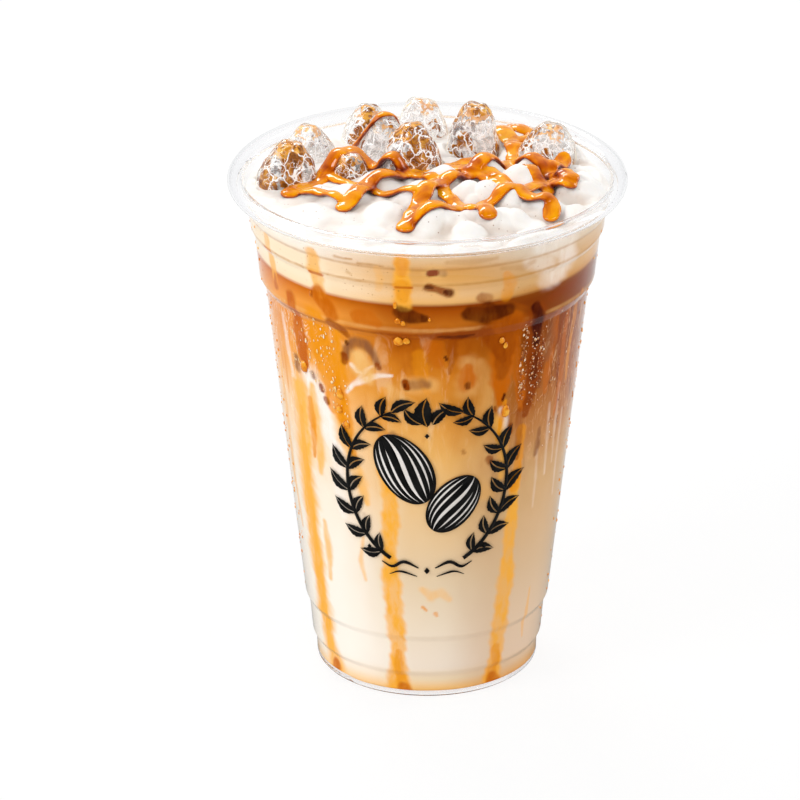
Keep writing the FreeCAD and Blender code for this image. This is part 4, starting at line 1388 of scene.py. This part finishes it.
def bean(ink, wash, middle, half_long, half_wide, tilt):
    """A coffee bean: a dark body in two halves, with an S-shaped split and tapered highlights."""
    shares = np.linspace(0.02, 0.98, 30)
    split = 0.16 * np.sin((shares - 0.5) * 2 * math.pi)

    def at(side_shares):
        return [oval(middle, half_long, half_wide, tilt, a, b) for a, b in zip(shares, side_shares)]

    def line(sign, share):
        """A line at that share of the way from the split to the edge at one side."""
        return at(split + sign * share * (1 - sign * split))

    nearly_edge = np.full(len(shares), 0.99)
    wash.sheet(at(-nearly_edge), at(nearly_edge), 10)
    # each highlight: its share of the way out, how wide it opens, and where along the bean it is open
    highlights = ((0.4, 0.1, 0.12, 0.72), (0.66, 0.09, 0.2, 0.86), (0.86, 0.06, 0.3, 0.78))
    for sign in (-1, 1):
        near = 0.075 * np.sin(shares * math.pi) + 0.012
        for middle_share, gap, begin, end in highlights:
            open_by = gap * np.sin(np.clip((shares - begin) / (end - begin), 0, 1) * math.pi) ** 0.8 / 2
            ink.sheet(line(sign, near), line(sign, middle_share - open_by))
            near = middle_share + open_by
        ink.sheet(line(sign, near), line(sign, 1.0))


def print_black(shade):
    """Flat black ink, worn a little thin."""
    tone = shade.ramp(shade.noise(3, 3), [(0.3, "0a0a0a"), (0.7, "1c1b1a")])
    return shade.surface(Base_Color=tone, Roughness=0.45, Specular_IOR_Level=0.25)


def print_wash(shade):
    """Pale ink through which the drink shows a little."""
    tone = shade.ramp(shade.noise(5, 2), [(0.3, "ece6df"), (0.7, "f6f2ee")])
    ink = shade.surface(Base_Color=tone, Roughness=0.5, Specular_IOR_Level=0.2)
    return shade.fade(shade.spread(shade.noise(4, 2, shift=5), 0.3, 0.7, 0.72, 0.9), ink)


def make_print():
    """The whole design, in its two inks."""
    ink, wash = Print(BLACK_LIFT), Print(WASH_LIFT)
    sprig(ink, 1)
    sprig(ink, -1)
    bean(ink, wash, (-5.4, 5.2), 10.4, 6.6, 0.5)
    bean(ink, wash, (6.6, -4.6), 8.8, 5.8, -0.62)
    # scrolls below, and three leaves above
    for mirror in (-1, 1):
        upper = [(2.2, -22.6), (6, -21), (9.2, -22.6), (12, -21.4)]
        lower = [(2.6, -25), (7, -23.8), (10, -24.8)]
        for places, widths in ((upper, [0.15, 0.45, 0.4, 0.12]), (lower, [0.1, 0.3, 0.08])):
            ink.line(curved([(mirror * across, up) for across, up in places]), widths)
    leaf(ink, (0, 17.4), math.pi / 2, 8.2, 2.1)
    leaf(ink, (-1.2, 18), math.pi / 2 + 0.75, 6.0, 1.5)
    leaf(ink, (1.2, 18), math.pi / 2 - 0.75, 6.0, 1.5)
    # diamonds
    tip = 0.02
    for across, up, size in ((0, -23.4, 0.95), (-15.4, -17.8, 0.7), (15.4, -17.8, 0.7), (0, 14.8, 0.7)):
        halves = [(tip, -size), (size * 0.8, 0), (tip, size)]
        left = [(across - wide, up + high) for wide, high in halves]
        right = [(across + wide, up + high) for wide, high in halves]
        ink.sheet(left, right, 2)
    wash.make("print_wash", material("print_wash", print_wash))
    ink.make("print_black", material("print_black", print_black))


# ---------------------------------------------------------------------------------------------------------
# Camera, light and stage


CAMERA_LENS = 238.85  # millimetres, on a sensor as wide as SENSOR
SENSOR = 36.0
CAMERA_PLACE = (0, -1.21097, 0.60259)
CAMERA_DOWN = 0.41498  # radians under the level
CAMERA_ROLL, CAMERA_TURN = 0.001, 0.005134


def make_camera():
    """A long lens in front of the cup, looking down at it."""
    camera = bpy.data.cameras.new("camera")
    camera.lens = CAMERA_LENS
    camera.sensor_width = SENSOR
    holder = bpy.data.objects.new("camera", camera)
    holder.location = CAMERA_PLACE
    holder.rotation_euler = Euler((math.pi / 2 - CAMERA_DOWN, CAMERA_ROLL, CAMERA_TURN), "XYZ")
    bpy.context.scene.collection.objects.link(holder)
    bpy.context.scene.camera = holder


def area_lamp(name, place, size, power, aim=(0, 0, 0.07)):
    """A white rectangular lamp turned towards a point on the cup."""
    lamp = bpy.data.lights.new(name, "AREA")
    lamp.shape = "RECTANGLE"
    lamp.size, lamp.size_y = size
    lamp.energy = power
    holder = bpy.data.objects.new(name, lamp)
    holder.location = place
    holder.rotation_euler = (Vector(aim) - Vector(place)).to_track_quat("-Z", "Y").to_euler()
    bpy.context.scene.collection.objects.link(holder)


SOFT_LIGHT = 0.7  # strength of the even light from all round
FRONT_GLOSS, BACK_GLOSS = 0.08, 0.95  # how bright the studio's front and back are in gloss


def looked_at(shade):
    """1 where the white surroundings are looked at, straight or through something clear."""
    path = shade.node("LightPath")
    return shade.math("MAXIMUM", path.outputs["Is Camera Ray"], path.outputs["Is Transmission Ray"])


def outer_gloss(shade):
    """1 for what is seen in the gloss of an outer surface."""
    path = shade.node("LightPath")
    outside = shade.math("LESS_THAN", path.outputs["Transmission Depth"], 0.5)
    return shade.times(path.outputs["Is Glossy Ray"], outside)


def gloss_strength(shade, backward, front, back):
    """How bright the surroundings are in gloss: dark behind the camera and bright behind the cup."""
    return shade.spread(backward, front, back, FRONT_GLOSS, BACK_GLOSS)


def make_lights():
    """Four soft lamps in an even white studio."""
    area_lamp("key", (-0.74, -0.5, 0.75), (0.4, 0.4), 4.1)
    area_lamp("strip", (0.25, -0.35, 0.85), (0.5, 0.05), 0.8, aim=(0, 0, 0.12))
    area_lamp("back", (-0.3, 0.7, 0.7), (0.5, 0.16), 3.0, aim=(0, 0, 0.13))
    area_lamp("right_edge", (0.8, 0.25, 0.35), (0.2, 0.6), 1.6)
    world = bpy.data.worlds.new("studio")
    world.use_nodes = True
    world.node_tree.nodes.clear()
    shade = Shade(world.node_tree)
    seen = looked_at(shade)
    _, backward, up = shade.node("SeparateXYZ", {0: shade.node("TexCoord").outputs["Generated"]}).outputs
    sky = shade.ramp(up, [(0.0, 1.0), (0.3, 1.0), (0.55, 0.82), (0.8, 0.62), (1.0, 0.55)])
    strength = shade.plus(SOFT_LIGHT, shade.times(seen, 1 - SOFT_LIGHT))
    lost = shade.minus(1.0, gloss_strength(shade, backward, -0.15, 0.75))
    lost = shade.times(lost, outer_gloss(shade))
    strength = shade.times(strength, shade.minus(1.0, lost))
    colour = shade.mix(seen, (1, 1, 1, 1), sky)
    light = shade.node("Background", {"Color": colour, "Strength": strength}).outputs[0]
    output = shade.node("OutputWorld")
    world.node_tree.links.new(light, output.inputs[0])
    bpy.context.scene.world = world


def floor_finish(shade):
    """White where it is looked at, with a share of plain cloth so that it keeps the cup's shadow."""
    cloth = shade.surface(Base_Color=tint("f4f4f4"), Roughness=0.9)
    glow = shade.node("Emission", {"Color": (1, 1, 1, 1), "Strength": 1.0}).outputs[0]
    backward = shade.node("SeparateXYZ", {0: shade.place()}).outputs[1]
    strength = gloss_strength(shade, backward, -80.0, 200.0)
    mirrored = shade.node("Emission", {"Color": (1, 1, 1, 1), "Strength": strength}).outputs[0]
    white = shade.blend(shade.times(looked_at(shade), 0.88), cloth, glow)
    return shade.blend(outer_gloss(shade), white, mirrored)


def make_floor():
    """A plain pale floor, far wider than the picture."""
    reach = 3.0
    corners = [(-reach, -reach, 0), (reach, -reach, 0), (reach, reach, 0), (-reach, reach, 0)]
    mesh = bpy.data.meshes.new("floor")
    mesh.from_pydata(corners, [], [(0, 1, 2, 3)])
    floor = bpy.data.objects.new("floor", mesh)
    floor.data.materials.append(material("floor", floor_finish))
    bpy.context.scene.collection.objects.link(floor)


# ---------------------------------------------------------------------------------------------------------
# Putting it together


def clear_cup(shade):
    """Clear plastic, greyer where it is seen edge on, as in a thick rim."""
    facing = shade.node("LayerWeight", {"Blend": 0.5}).outputs["Facing"]
    tone = shade.ramp(facing, [(0.0, "ffffff"), (0.6, "fcfcfd"), (0.85, "e8eaec"), (1.0, "c2c6cb")])
    glass = shade.surface(Base_Color=tone, Roughness=0.0, IOR=1.32, Transmission_Weight=1.0)
    return shade.clear_to_lamps(glass)


def main():
    """Dresses the cup and its drink from the bottom up, then sets the stage."""
    scene = bpy.context.scene
    scene.view_settings.view_transform = "Standard"
    scene.cycles.transparent_max_bounces = 24
    # light that runs along inside the thin wall bounces many times before it comes out
    scene.cycles.max_bounces = 32
    scene.cycles.glossy_bounces = 32
    scene.cycles.transmission_bounces = 32
    cup = nodes["cup"]
    cup.data.materials.clear()
    cup.data.materials.append(material("clear_plastic", clear_cup))
    drink = material("drink", brewed)
    levels = [underside(name) for name in LAYERS[1:]]
    make_pool(levels[0], drink)
    for name, low, high in zip(LAYERS[1:-1], levels, levels[1:]):
        make_layer(name, low, high, drink)
    foam = make_foam(levels[-1])
    ice = make_ice()
    make_drizzle(search_tree(foam, *ice))
    make_beads()
    make_print()
    make_camera()
    make_lights()
    make_floor()


main()
